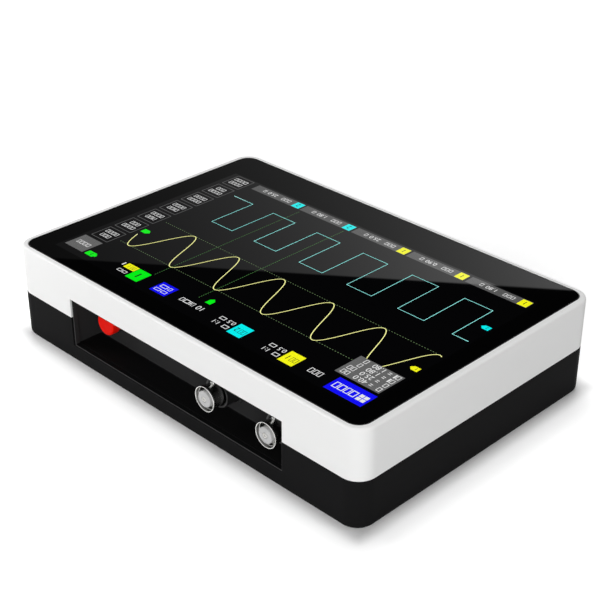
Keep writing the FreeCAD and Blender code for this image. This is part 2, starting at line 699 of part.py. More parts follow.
# ---------------------------------------------------------------------------------------------------
# Upper shell: frame round the glass, with tongue, ledge, bosses and the upper half of the bay's mouth
# ---------------------------------------------------------------------------------------------------
def upper_shell():
    body = new_body("upper_shell")
    sketch = new_sketch(body, "outside", at=seam)
    rounded_rectangle(sketch, (-half_x, half_x), (-half_y, half_y), sizes.corner_radius)
    pad(body, sketch, top - seam)
    dress_edges(body, "Fillet", "top_edge", sizes.top_round, lambda box: level(box, top))

    inner_radius = sizes.corner_radius - sizes.wall
    sketch = new_sketch(body, "inside", at=seam)
    rounded_rectangle(sketch, (-inner_x, inner_x), (-inner_y, inner_y), inner_radius)
    pocket(body, sketch, ledge_bottom - seam)

    sketch = new_sketch(body, "glass_seat", at=ledge_top)
    seat_x = half_x - sizes.rim_width_x
    seat_y = half_y - sizes.rim_width_y
    rounded_rectangle(sketch, (-seat_x, seat_x), (-seat_y, seat_y),
                      sizes.glass_radius + sizes.glass_gap)
    pocket(body, sketch, top - ledge_top)

    lcd_x = span(sizes.lcd_place_x, sizes.lcd_length + sizes.free_gap * 2)
    lcd_y = span(sizes.lcd_place_y, sizes.lcd_width + sizes.free_gap * 2)
    cut_box(body, "display_window", lcd_x, lcd_y, (ledge_bottom, ledge_top))

    gap = sizes.free_gap
    cut_box(body, "touch_slot", span(touch_flex_x, sizes.touch_flex_width + gap * 2),
            (touch_drop - sizes.flex_thickness - sizes.flex_bend - gap, touch_drop + gap),
            (ledge_bottom, ledge_top))

    # tongue that drops into the lower shell's step
    tongue_bottom = seam - sizes.lip_height + sizes.seam_gap
    sketch = new_sketch(body, "tongue", at=tongue_bottom)
    tongue_x = inner_x + sizes.lip_thickness - sizes.seam_gap
    tongue_y = inner_y + sizes.lip_thickness - sizes.seam_gap
    rounded_rectangle(sketch, (-tongue_x, tongue_x), (-tongue_y, tongue_y),
                      inner_radius + sizes.lip_thickness - sizes.seam_gap)
    rounded_rectangle(sketch, (-inner_x, inner_x), (-inner_y, inner_y), inner_radius)
    pad(body, sketch, seam - tongue_bottom)

    # bosses that the case screws bite into, tied to the walls by webs
    boss_top = lcd_bottom - sizes.free_gap
    boss = add_rods(body, "boss", [(screw_x, screw_y)], sizes.upper_boss_radius, (seam, boss_top))
    web_x = add_box(body, "web_x", (screw_x, inner_x), span(screw_y, sizes.web_thickness),
                    (seam, boss_top))
    web_y = add_box(body, "web_y", span(screw_x, sizes.web_thickness), (screw_y, inner_y),
                    (seam, boss_top))
    mirrored(body, "boss_set", [boss, web_x, web_y], ("YZ_Plane", "XZ_Plane"))
    pilot_top = screw_seat + sizes.case_screw_length + sizes.free_gap
    pilot = cut_holes(body, "pilot", [(screw_x, screw_y)], sizes.case_screw_radius + sizes.fit_gap,
                      (seam, pilot_top))
    mirrored(body, "pilot_set", [pilot], ("YZ_Plane", "XZ_Plane"))

    # upper half of the bay's mouth
    cut_box(body, "bay_mouth", (-bay_half, bay_half), (inner_y - 1, half_y + 1),
            (tongue_bottom, bay_top))
    return body


# ---------------------------------------------------------------------------------------------------
# Glass, its tape and the display module
# ---------------------------------------------------------------------------------------------------
def cover_glass():
    body = new_body("cover_glass")
    sketch = new_sketch(body, "plate", at=glass_bottom)
    rounded_rectangle(sketch, (-glass_half_x, glass_half_x), (-glass_half_y, glass_half_y),
                      sizes.glass_radius)
    pad(body, sketch, sizes.glass_thickness)
    dress_edges(body, "Chamfer", "ground_edge", sizes.glass_bevel, lambda box: level(box, top))
    return body


def glass_tape():
    """A frame that holds the glass on the ledge and the display module under the glass."""
    body = new_body("glass_tape")
    sketch = new_sketch(body, "frame", at=ledge_top)
    rounded_rectangle(sketch, (-glass_half_x, glass_half_x), (-glass_half_y, glass_half_y),
                      sizes.glass_radius)
    rectangle(sketch, span(sizes.lcd_place_x, sizes.lcd_length - sizes.tape_width),
              span(sizes.lcd_place_y, sizes.lcd_width - sizes.tape_width))
    pad(body, sketch, sizes.tape_thickness)
    gap = sizes.free_gap
    cut_box(body, "touch_notch", span(touch_flex_x, sizes.touch_flex_width + gap * 2),
            (-glass_half_y - gap, touch_drop + gap), (ledge_top, glass_bottom))
    return body


def lcd_bezel():
    """Sheet-metal tray of the display module, open below, with a window above."""
    body = new_body("lcd_bezel")
    x = span(sizes.lcd_place_x, sizes.lcd_length)
    y = span(sizes.lcd_place_y, sizes.lcd_width)
    sheet_metal = sizes.bezel_sheet
    border = sizes.lcd_border
    add_box(body, "tray", x, y, (lcd_bottom, ledge_top))
    cut_box(body, "hollow", (x[0] + sheet_metal, x[1] - sheet_metal),
            (y[0] + sheet_metal, y[1] - sheet_metal), (lcd_bottom, ledge_top - sheet_metal))
    cut_box(body, "window", (x[0] + border, x[1] - border), (y[0] + border, y[1] - border),
            (lcd_bottom, ledge_top))
    return body


def lcd_layer(label, low, high):
    """One layer inside the tray of the display module."""
    inset = (sizes.bezel_sheet + sizes.free_gap) * 2
    return block(label, span(sizes.lcd_place_x, sizes.lcd_length - inset),
                 span(sizes.lcd_place_y, sizes.lcd_width - inset), (low, high))


# ---------------------------------------------------------------------------------------------------
# Connector bay
# ---------------------------------------------------------------------------------------------------
def connector_bay():
    """Liner with a flange behind both shells, and a back wall that the ports come through."""
    body = new_body("connector_bay")
    wall, flange = sizes.bay_wall, sizes.bay_flange
    outer_x, outer_z = bay_half + wall, (bay_floor - wall, bay_top + wall)
    flange_back = inner_y - sizes.bay_flange
    add_box(body, "tray", (-outer_x, outer_x), (bay_rear, flange_back), outer_z)
    add_box(body, "flange", (-outer_x - flange, outer_x + flange), (flange_back, inner_y),
            (outer_z[0] - flange, outer_z[1] + flange))
    cut_box(body, "hollow", (-bay_half, bay_half), (bay_back, inner_y), (bay_floor, bay_top))
    back = bay_back.value
    dress_edges(body, "Fillet", "inner_edges", sizes.bay_inner_round,
                lambda box: abs(box.YMin - back) < 1e-6 and box.YMax < inner_y.value + 1e-6
                and box.XLength + box.YLength + box.ZLength > sizes.bay_inner_round.value
                and abs(box.YMax - back) < 1e-6)

    # raised collars and holes for the jacks
    jacks = (jack_1_x, jack_2_x)
    hole = sizes.neck_radius + sizes.free_gap
    sketch = new_sketch(body, "collars", plane="XZ", at=bay_back)
    for x in jacks:
        circle(sketch, x, port_axis, hole + sizes.collar_width)
    pad(body, sketch, sizes.collar_height, down=True)
    sketch = new_sketch(body, "jack_holes", plane="XZ", at=bay_back + sizes.collar_height)
    for x in jacks:
        circle(sketch, x, port_axis, hole)
    pocket(body, sketch, sizes.collar_height + wall)

    # holes for the button and the lamp, and the slot for the charging socket
    for name, x, radius in (("button_hole", button_x, sizes.button_radius),
                            ("lamp_hole", lamp_x, sizes.lamp_radius)):
        sketch = new_sketch(body, name, plane="XZ", at=bay_back)
        circle(sketch, x, port_axis, radius + sizes.free_gap)
        pocket(body, sketch, wall)
    sketch = new_sketch(body, "usb_slot", plane="XZ", at=bay_back)
    gap = sizes.free_gap
    rounded_rectangle(sketch, span(usb_x, sizes.usb_width + gap * 2),
                      span(port_axis, sizes.usb_height + gap * 2), sizes.usb_height * 0.45)
    pocket(body, sketch, wall)
    return body


# ---------------------------------------------------------------------------------------------------
# Coaxial jacks. Each piece is made on its own Z axis, with zero at the front of the barrel.
# ---------------------------------------------------------------------------------------------------
def jack_barrel(label):
    """Turned metal barrel with a back web and two bayonet lugs."""
    body = new_body(label)
    r, bore, chamfer = sizes.barrel_radius, sizes.barrel_bore, sizes.barrel_chamfer
    back = -sizes.barrel_length
    core = sizes.insulator_radius + sizes.fit_gap
    revolve(body, "turning", [(core, back), (r, back), (r, -chamfer), (r - chamfer, 0),
                              (bore + chamfer, 0), (bore, -chamfer),
                              (bore, back + sizes.barrel_web), (core, back + sizes.barrel_web)])
    sketch = new_sketch(body, "lugs", plane="XZ", at=-sizes.lug_reach)
    circle(sketch, 0, -sizes.lug_setback, sizes.lug_radius)
    wall_middle = (r + bore) / 2
    first = pad(body, sketch, sizes.lug_reach - wall_middle, down=True)
    mirrored(body, "second_lug", [first], ("XZ_Plane",))
    return body


def jack_insulator(label):
    """White core with a foot that lies on the web of the barrel."""
    body = new_body(label)
    bore = sizes.contact_radius + sizes.fit_gap
    foot = -sizes.barrel_length + sizes.barrel_web
    foot_top = foot + sizes.barrel_web
    foot_radius = sizes.barrel_bore - sizes.free_gap
    radius = sizes.insulator_radius
    revolve(body, "turning", [(bore, -sizes.barrel_length), (radius, -sizes.barrel_length),
                              (radius, foot), (foot_radius, foot), (foot_radius, foot_top),
                              (radius, foot_top), (radius, -sizes.insulator_setback),
                              (bore, -sizes.insulator_setback)])
    return body


def jack_contact(label):
    """Centre contact with a blind bore, and the wire that goes down through the board."""
    body = new_body(label)
    front = -sizes.contact_setback
    block_front = housing_front - jack_front
    tail_at = block_front - sizes.tail_place
    back = tail_at - sizes.tail_radius
    revolve(body, "turning", [(0, back), (sizes.contact_radius, back), (sizes.contact_radius, front),
                              (sizes.contact_bore, front),
                              (sizes.contact_bore, front - sizes.contact_bore_depth),
                              (0, front - sizes.contact_bore_depth)])
    sketch = new_sketch(body, "tail", plane="XZ", at=0)
    circle(sketch, 0, tail_at, sizes.tail_radius)
    pad(body, sketch, port_axis - board_bottom, down=True)
    return body


def jack_housing(label):
    """Plastic block on the board, with the neck round the barrel and two pegs."""
    body = new_body(label)
    half = sizes.housing_width / 2
    block_front = housing_front - jack_front
    block_back = block_front - sizes.housing_depth
    down = port_axis - board_top
    add_box(body, "block", (-half, half), (-half, down), (block_back, block_front))
    add_rods(body, "neck", [(0, 0)], sizes.neck_radius, (block_front, -sizes.neck_setback))
    cut_holes(body, "barrel_bore", [(0, 0)], sizes.barrel_radius + sizes.fit_gap,
              (-sizes.barrel_length, -sizes.neck_setback))
    slot = sizes.contact_radius + sizes.free_gap
    tail_at = block_front - sizes.tail_place
    cut_box(body, "contact_slot", (-slot, slot), (-slot, down),
            (tail_at - slot, -sizes.barrel_length))
    sketch = new_sketch(body, "pegs", plane="XZ", at=down)
    for side in (-1, 1):
        circle(sketch, (half - sizes.peg_inset) * side, block_back + sizes.peg_place, sizes.peg_radius)
    pad(body, sketch, sizes.board_thickness, down=True)
    return body


def make_jack(number, x):
    for suffix, maker in (("barrel", jack_barrel), ("insulator", jack_insulator),
                          ("contact", jack_contact), ("housing", jack_housing)):
        node(place(maker(f"jack_{number}_{suffix}"), x, jack_front, port_axis, FORWARD))


# ---------------------------------------------------------------------------------------------------
# Power button, switch, charging socket and lamp on the upright board
# ---------------------------------------------------------------------------------------------------
def power_button():
    """Round cap with a keeper flange and a socket for the switch's stem; zero at its front."""
    body = new_body("power_button")
    button_front = half_y - sizes.button_setback
    flange_front = bay_rear - sizes.free_gap - button_front
    flange_back = flange_front - sizes.button_flange
    radius = sizes.button_radius
    flange_radius = radius + sizes.button_flange
    stem = sizes.stem_radius + sizes.fit_gap
    socket = flange_back + sizes.stem_reach
    revolve(body, "cap", [(0, socket), (stem, socket), (stem, flange_back),
                          (flange_radius, flange_back), (flange_radius, flange_front),
                          (radius, flange_front), (radius, 0), (0, 0)])
    dress_edges(body, "Chamfer", "front_edge", sizes.button_round, lambda box: level(box, 0))
    return place(body, button_x, button_front, port_axis, FORWARD)


def power_switch():
    """Square switch body with a round well for its stem."""
    half = sizes.switch_width / 2
    x, front = button_x, port_board_front + sizes.switch_depth
    case = block_at("power_switch_case", x, port_board_front + sizes.switch_depth / 2,
                    port_axis - half, sizes.switch_width, sizes.switch_depth, sizes.switch_width)
    well = rod("power_switch_well", x, front - sizes.stem_depth - sizes.button_travel
               - sizes.free_gap, port_axis, sizes.stem_radius + sizes.running_gap,
               sizes.switch_depth, FORWARD)
    return cut("power_switch", case, well)


def power_switch_stem():
    """Stem from inside the switch to the bottom of the button's socket."""
    back = port_board_front + sizes.switch_depth - sizes.stem_depth
    button_back = bay_rear - sizes.free_gap - sizes.button_flange
    return rod("power_switch_stem", button_x, back, port_axis, sizes.stem_radius,
               button_back + sizes.stem_reach - back, FORWARD)


def usb_shell():
    body = new_body("usb_shell")
    sheet_metal = sizes.usb_sheet
    width, height = sizes.usb_width, sizes.usb_height
    inner_width, inner_height = width - sheet_metal * 2, height - sheet_metal * 2
    sketch = new_sketch(body, "sleeve", at=0)
    rounded_rectangle(sketch, span(0, width), span(0, height), height * 0.45)
    rounded_rectangle(sketch, span(0, inner_width), span(0, inner_height), inner_height * 0.45)
    pad(body, sketch, sizes.usb_length)
    sketch = new_sketch(body, "back", at=0)
    rounded_rectangle(sketch, span(0, width), span(0, height), height * 0.45)
    pad(body, sketch, sheet_metal)
    return place(body, usb_x, port_board_front, port_axis, FORWARD)


def usb_tongue():
    """Flat tongue from the back wall of the charging socket."""
    back = port_board_front + sizes.usb_sheet
    tip = port_board_front + sizes.usb_length - sizes.tongue_setback
    return block("usb_tongue", span(usb_x, sizes.tongue_width), (back, tip),
                 span(port_axis, sizes.tongue_thickness))


def port_board():
    back = port_board_front - sizes.board_thickness
    return block("port_board", (usb_x - sizes.port_board_start, button_x + sizes.port_board_end),
                 (back, port_board_front), (board_top, board_top + sizes.port_board_height))


def port_header():
    back = port_board_front - sizes.board_thickness
    middle = (usb_x + button_x) / 2
    return block("port_header", span(middle, sizes.header_length),
                 (back - sizes.header_width, back), (board_top, board_top + sizes.header_width))


def charge_lamp():
    """Round lamp with a bevelled end and a rim at its foot; zero at the board."""
    body = new_body("charge_lamp")
    radius = sizes.lamp_radius
    rim = radius + sizes.free_gap
    length = sizes.usb_length
    rim_top = sizes.free_gap * 3
    revolve(body, "lens", [(0, 0), (rim, 0), (rim, rim_top), (radius, rim_top), (radius, length),
                           (0, length)])
    dress_edges(body, "Chamfer", "dome", radius / 2, lambda box: level(box, length))
    return place(body, lamp_x, port_board_front, port_axis, FORWARD)


# ---------------------------------------------------------------------------------------------------
# Screws and feet
# ---------------------------------------------------------------------------------------------------
def screw(label, radius, length, rotation, x, y, z):
    """Pan-head screw with a cross slot; zero under its head, shank along its own -Z."""
    body = new_body(label)
    head_radius = radius * 1.8
    head_height = radius * 1.1
    revolve(body, "turning", [(0, -length), (radius, -length), (radius, 0), (head_radius, 0),
                              (head_radius, head_height * 0.5),
                              (head_radius * 0.6, head_height), (0, head_height)])
    slot, arm = radius * 0.3, radius
    sketch = new_sketch(body, "cross", at=head_height * 0.5)
    outline(sketch, [(arm, slot), (slot, slot), (slot, arm), (-slot, arm), (-slot, slot), (-arm, slot),
                     (-arm, -slot), (-slot, -slot), (-slot, -arm), (slot, -arm), (slot, -slot),
                     (arm, -slot)])
    pocket(body, sketch, head_height)
    return place(body, x, y, z, rotation)


def case_screws():
    upside_down = Rotation(Vector(1, 0, 0), 180)
    spots = [(screw_x * i, screw_y * j) for i in (-1, 1) for j in (-1, 1)]
    return group("case_screws", [
        screw(f"case_screw_{i}", sizes.case_screw_radius, sizes.case_screw_length, upside_down,
              x, y, screw_seat) for i, (x, y) in enumerate(spots, 1)])


def board_screws():
    spots = [(board_screw_x * side, y) for side in (-1, 1) for y in board_screw_rows]
    return group("board_screws", [
        screw(f"board_screw_{i}", sizes.board_screw_radius, sizes.board_screw_length, Rotation(),
              x, y, board_top) for i, (x, y) in enumerate(spots, 1)])


def foot(label, x, y):
    """Round rubber foot, stuck in a shallow recess."""
    body = new_body(label)
    radius, height = sizes.foot_radius - sizes.glass_gap, sizes.foot_stand + sizes.foot_recess
    revolve(body, "disc", [(0, 0), (radius, 0), (radius, height), (0, height)])
    dress_edges(body, "Chamfer", "lower_edge", sizes.foot_round, lambda box: level(box, 0))
    return place(body, x, y, 0)


# ---------------------------------------------------------------------------------------------------
# Fold-out stand
# ---------------------------------------------------------------------------------------------------
def stand():
    """Framed plate with a rolled root that turns on two pins."""
    body = new_body("stand")
    add_box(body, "plate", (-stand_half, stand_half), (stand_tip, hinge_y),
                    (underside, underside + sizes.stand_thickness))
    tip = stand_tip.value
    dress_edges(body, "Fillet", "free_corners", sizes.stand_corner_radius,
                lambda box: box.ZLength > 1 and box.YMax < tip + 1e-6)
    sketch = new_sketch(body, "root", plane="YZ", at=-stand_half)
    circle(sketch, hinge_y, hinge_z, sizes.stand_barrel_radius)
    pad(body, sketch, sizes.stand_width)
    border = sizes.stand_panel_border
    sketch = new_sketch(body, "panel", at=underside)
    rounded_rectangle(sketch, (-stand_half + border, stand_half - border),
                      (stand_tip + border, hinge_y - border), sizes.stand_corner_radius / 2)
    pocket(body, sketch, sizes.stand_panel_depth)
    sketch = new_sketch(body, "grip", at=underside)
    for i in range(4):
        start = stand_tip + border + sizes.grip_width * (2 * i + 2)
        rectangle(sketch, span(0, sizes.grip_length), (start, start + sizes.grip_width))
    pad(body, sketch, sizes.stand_panel_depth)
    bore = sizes.stand_pin_radius + sizes.running_gap
    depth = sizes.stand_pin_length - sizes.stand_pin_seat
    for side in (-1, 1):
        sketch = new_sketch(body, f"bore_{side + 1}", plane="YZ", at=stand_half * side)
        circle(sketch, hinge_y, hinge_z, bore)
        pocket(body, sketch, depth, forward=side < 0)
    return body


def stand_pins():
    seat_end = recess_half + sizes.stand_pin_seat
    pins = [rod("stand_pin_1", -seat_end, hinge_y, hinge_z, sizes.stand_pin_radius,
                sizes.stand_pin_length, SIDEWAYS),
            rod("stand_pin_2", seat_end - sizes.stand_pin_length, hinge_y, hinge_z,
                sizes.stand_pin_radius, sizes.stand_pin_length, SIDEWAYS)]
    return group("stand_pins", pins)


# ---------------------------------------------------------------------------------------------------
# Boards and what is soldered to them
# ---------------------------------------------------------------------------------------------------
def main_board():
    body = new_body("main_board")
    add_box(body, "plate", (-board_half, board_half), (board_low_y, board_high_y), (board_bottom, board_top))
    screws = [(board_screw_x * side, y) for side in (-1, 1) for y in board_screw_rows]
    cut_holes(body, "screw_holes", screws, sizes.board_screw_radius + sizes.free_gap,
              (board_bottom, board_top))
    block_back = housing_front - sizes.housing_depth
    tails, pegs = [], []
    for x in (jack_1_x, jack_2_x):
        tails.append((x, housing_front - sizes.tail_place))
        for side in (-1, 1):
            pegs.append((x + (sizes.housing_width / 2 - sizes.peg_inset) * side,
                         block_back + sizes.peg_place))
    cut_holes(body, "tail_holes", tails, sizes.tail_radius + sizes.fit_gap, (board_bottom, board_top))
    cut_holes(body, "peg_holes", pegs, sizes.peg_radius + sizes.fit_gap, (board_bottom, board_top))
    return body


def shield(label, x):
    """Folded metal can over the input stage behind a jack."""
    body = new_body(label)
    width, metal = sizes.shield_width, sizes.shield_sheet
    high = housing_front - sizes.housing_depth - sizes.header_width
    low = high - width
    crown = board_top + sizes.shield_height
    add_box(body, "can", span(x, width), (low, high), (board_top, crown))
    cut_box(body, "hollow", span(x, width - metal * 2), (low + metal, high - metal),
            (board_top, crown - metal))
    return body


def chip(label, place_x, y, width):
    """Flat package, placed from the high end and the low edge of the board, its top edge drawn in."""
    body = new_body(label)
    crown = board_top + sizes.chip_height
    add_box(body, "package", span(board_half - place_x, width), span(board_low_y + y, width),
            (board_top, crown))
    dress_edges(body, "Chamfer", "top_edge", sizes.chip_bevel, lambda box: level(box, crown))
    return body


def input_relays():
    """Two small relays for each channel."""
    middle = board_low_y + sizes.relay_length * 0.55
    spots = [place_x + sizes.relay_width * side for place_x in (jack_1_x, jack_2_x)
             for side in (-1, 1)]
    return group("input_relays", [
        block_at(f"relay_{i}", x, middle, board_top, sizes.relay_width, sizes.relay_length,
                 sizes.relay_height) for i, x in enumerate(spots, 1)])


def folded_flex(label, middle, width, start, upper, drop, end):
    """Flat lead: a run at the upper level, a drop, and a run into its socket on the board."""
    body = new_body(label)
    thick = sizes.flex_thickness
    lower = board_top + sizes.flex_height
    sketch = new_sketch(body, "ribbon", plane="YZ", at=middle - width / 2)
    outline(sketch, [(start, upper), (drop, upper), (drop, lower + thick), (end, lower + thick),
                     (end, lower), (drop - thick, lower), (drop - thick, upper - thick),
                     (start, upper - thick)])
    pad(body, sketch, width)
    bend, outer = sizes.flex_bend, sizes.flex_bend + thick
    for name, radius, spots in (
            ("inner_bends", bend, ((drop, lower + thick), (drop - thick, upper - thick))),
            ("outer_bends", outer, ((drop, upper), (drop - thick, lower)))):
        corners = [(y.value, z.value) for y, z in spots]
        dress_edges(body, "Fillet", name, radius, lambda box: box.XLength > 1 and any(
            abs(box.YMin - y) + abs(box.YMax - y) + abs(box.ZMin - z) + abs(box.ZMax - z) < 1e-6
            for y, z in corners))
    return body


def flex_socket(label, middle, flex_width, front):
    """Low socket that a flat lead enters from the battery side."""
    gap = sizes.free_gap / 2
    lower = board_top + sizes.flex_height
    shroud = block(f"{label}_shroud", span(middle, flex_width + 2),
                   (front, front + sizes.flex_socket_depth),
                   (board_top, board_top + sizes.flex_socket_height))
    mouth = block(f"{label}_mouth", span(middle, flex_width + gap * 2),
                  (front - 1, front + sizes.flex_socket_depth / 2),
                  (lower - gap, lower + sizes.flex_thickness + gap))
    return cut(label, shroud, mouth)


def card_parts():
    """Socket for the memory card, and the card that lies in it."""
    x, width, length = -board_half + sizes.card_place, sizes.card_width, sizes.card_length
    start = board_low_y + sizes.supply_row
    floor = board_top + (sizes.card_socket_height - sizes.card_thickness) / 3
    gap = sizes.free_gap / 2
    shroud = block("card_shroud", span(x, sizes.card_socket_width), (start, start + length),
                   (board_top, board_top + sizes.card_socket_height))
    slot = block("card_slot", span(x, width + gap * 2), (start - 1, start + length - gap * 4),
                 (floor, floor + sizes.card_thickness + gap))
    card = block("memory_card", span(x, width), (start - gap * 5, start + length - gap * 5),
                 (floor, floor + sizes.card_thickness))
    return cut("card_socket", shroud, slot), card


def board_parts():
    """Parts soldered to the main board."""
    node(shield("input_shield_1", jack_1_x))
    node(shield("input_shield_2", jack_2_x))
    node(input_relays())
    row = sizes.chip_row
    converters = [chip(f"converter_{i}", sizes.converter_place, row + sizes.converter_pitch * shift,
                       sizes.converter_width) for i, shift in ((1, -0.5), (2, 0.5))]
    node(group("converters", converters))
    node(chip("logic_array", sizes.array_place, row, sizes.array_width))
    node(chip("processor", sizes.processor_place, row, sizes.processor_width))
    node(chip("memory_chip", sizes.memory_place, row, sizes.memory_width))
    node(block_at("crystal", board_half - sizes.processor_place, board_low_y + sizes.crystal_row,
                  board_top, sizes.crystal_length, sizes.crystal_width, sizes.coil_height))
    rows = [board_low_y + sizes.supply_row + sizes.supply_pitch * i for i in range(3)]
    node(group("inductors", [
        block_at(f"inductor_{i}", board_half - sizes.coil_place, y, board_top, sizes.coil_width,
                 sizes.coil_width, sizes.coil_height) for i, y in enumerate(rows, 1)]))
    node(group("capacitors", [
        rod(f"capacitor_{i}", board_half - sizes.capacitor_place, y, board_top,
            sizes.capacitor_radius, sizes.capacitor_height) for i, y in enumerate(rows, 1)]))
    for item in card_parts():
        node(item)


def flat_leads():
    """Flat leads of the display and of the touch glass, each with its socket."""
    front = board_low_y + sizes.relay_length * 1.05 + sizes.flex_bend * 2
    drop = front - sizes.flex_bend * 1.5
    start = drop - sizes.display_flex_start
    upper = ledge_top - sizes.bezel_sheet - sizes.panel_thickness - sizes.backlight_thickness
    node(flex_socket("display_socket", display_flex_x, sizes.display_flex_width, front))
    node(folded_flex("display_flex", display_flex_x, sizes.display_flex_width,
                     start, upper, drop, front))
    front = board_low_y + sizes.flex_bend
    node(flex_socket("touch_socket", touch_flex_x, sizes.touch_flex_width, front))
    node(folded_flex("touch_flex", touch_flex_x, sizes.touch_flex_width,
                     -glass_half_y + sizes.flex_bend, glass_bottom, touch_drop, front))


# ---------------------------------------------------------------------------------------------------
# Battery
# ---------------------------------------------------------------------------------------------------
def battery_pack():
    """Pouch with rounded long edges."""
    body = new_body("battery_pack")
    half = sizes.battery_length / 2
    crown = battery_bottom + sizes.battery_thickness
    add_box(body, "pouch", (-half, half), (battery_low_y, battery_high_y), (battery_bottom, crown))
    dress_edges(body, "Fillet", "long_edges", sizes.battery_round, lambda box: box.XLength > 1)
    return body


def battery_tape():
    half, inset = sizes.battery_length / 2, sizes.battery_round
    return block("battery_tape", (-half + inset, half - inset),
                 (battery_low_y + inset, battery_high_y - inset), (floor_top, battery_bottom))


def battery_lead():
    """Twin lead from the end of the battery, round one bend, to the back of its plug."""
    body = new_body("battery_lead")
    battery_end = sizes.battery_length / 2
    plug_back = board_low_y - sizes.plug_length + sizes.plug_reach
    bend = sizes.lead_bend
    path = new_sketch(body, "path", at=lead_z)
    turn_x, turn_y = battery_end + sizes.lead_start, lead_y + bend
    first = Part.LineSegment(Vector(battery_end.value, lead_y.value, 0),
                             Vector(turn_x.value, lead_y.value, 0))
    ring = Part.Circle(Vector(turn_x.value, turn_y.value, 0), Vector(0, 0, 1), bend.value)
    second = Part.LineSegment(Vector(lead_x.value, turn_y.value, 0),
                              Vector(lead_x.value, plug_back.value, 0))
    path.addGeometry([first, Part.ArcOfCircle(ring, -math.pi / 2, 0), second], False)
    path.addConstraint(Sketcher.Constraint("Tangent", 0, 2, 1, 1))
    path.addConstraint(Sketcher.Constraint("Tangent", 1, 2, 2, 1))
    path.addConstraint(Sketcher.Constraint("Horizontal", 0))
    path.addConstraint(Sketcher.Constraint("Vertical", 2))
    datum(path, "DistanceX", -1, 1, 0, 1, length=battery_end)
    datum(path, "DistanceY", -1, 1, 0, 1, length=lead_y)
    datum(path, "Radius", 1, length=bend)
    datum(path, "DistanceX", -1, 1, 2, 1, length=lead_x)
    datum(path, "DistanceY", -1, 1, 2, 2, length=plug_back)
    section = new_sketch(body, "section", plane="YZ", at=battery_end)
    rectangle(section, span(lead_y, sizes.lead_width), span(lead_z, sizes.lead_thickness))
    lead = body.newObject("PartDesign::AdditivePipe", "battery_lead_sweep")
    lead.Profile = section
    lead.Spine = path
    return finish_step(body, lead, 0.0, grows=True) and body


def battery_connectors():
    """Plug on the lead, and the socket that it sits in at the edge of the board."""
    gap = sizes.free_gap / 2
    wall = sizes.socket_wall
    reach = sizes.plug_reach
    plug_x = span(lead_x, sizes.plug_width)
    plug_z = span(lead_z, sizes.plug_height)
    plug = block("battery_plug", plug_x, (board_low_y - sizes.plug_length + reach, board_low_y + reach),
                 plug_z)
    shroud = block("battery_shroud", (plug_x[0] - wall, plug_x[1] + wall),
                   (board_low_y, board_low_y + reach + wall * 2), (board_top, plug_z[1] + wall))
    cavity = block("battery_cavity", (plug_x[0] - gap, plug_x[1] + gap),
                   (board_low_y - 1, board_low_y + reach + gap), (plug_z[0], plug_z[1] + gap))
    return plug, cut("battery_socket", shroud, cavity)


# ---------------------------------------------------------------------------------------------------
# Assembly
# ---------------------------------------------------------------------------------------------------
node(lower_shell())
node(upper_shell())
node(cover_glass())
node(glass_tape())
node(lcd_bezel())
cell_top = ledge_top - sizes.bezel_sheet
cell_bottom = cell_top - sizes.panel_thickness
node(lcd_layer("lcd_panel", cell_bottom, cell_top))
node(lcd_layer("backlight", cell_bottom - sizes.backlight_thickness, cell_bottom))
node(connector_bay())
make_jack(1, jack_1_x)
make_jack(2, jack_2_x)
node(power_button())
node(power_switch())
node(power_switch_stem())
node(usb_shell())
node(usb_tongue())
node(charge_lamp())
node(port_board())
node(port_header())
node(case_screws())
node(board_screws())
for number, (i, j) in enumerate(((-1, 1), (1, 1), (-1, -1), (1, -1)), 1):
    node(foot(f"foot_{number}", foot_x * i, foot_y * j))
node(stand())
node(stand_pins())
node(main_board())
board_parts()
flat_leads()
node(battery_pack())
node(battery_tape())
node(battery_lead())
for item in battery_connectors():
    node(item)

# ---------------------------------------------------------------------------------------------------
# Check and write
# ---------------------------------------------------------------------------------------------------
doc.recompute()
for item in doc.Objects:
    if "Invalid" in item.State or "Error" in item.State:
        raise RuntimeError(f"{item.Label}: {item.State}")
for item in NODES:
    if item.Shape.isNull() or not item.Shape.isValid():
        raise RuntimeError(f"{item.Label}: no valid shape")
os.makedirs("parts", exist_ok=True)
for item in NODES:
    item.Shape.exportStep(f"parts/{item.Label}.step")
print(f"{len(NODES)} sub-parts written")
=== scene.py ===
# %% [markdown]
# # A tablet oscilloscope
# The instrument is a flat box that lies on a table or leans on its stand. A white upper shell
# holds a sheet of black cover glass, a black lower shell holds the battery and the board, and
# between them, on the far long side, lies a bay with two coaxial jacks, a power button, a charging
# socket and a lamp.
# The solids come ready from the CAD model. This lesson gives them their finishes, draws the
# picture on the screen, turns the finer round pieces, softens the edges, and sets up the studio.

# %% Load the solids
import json
import math

import bpy
from mathutils import Matrix, Vector


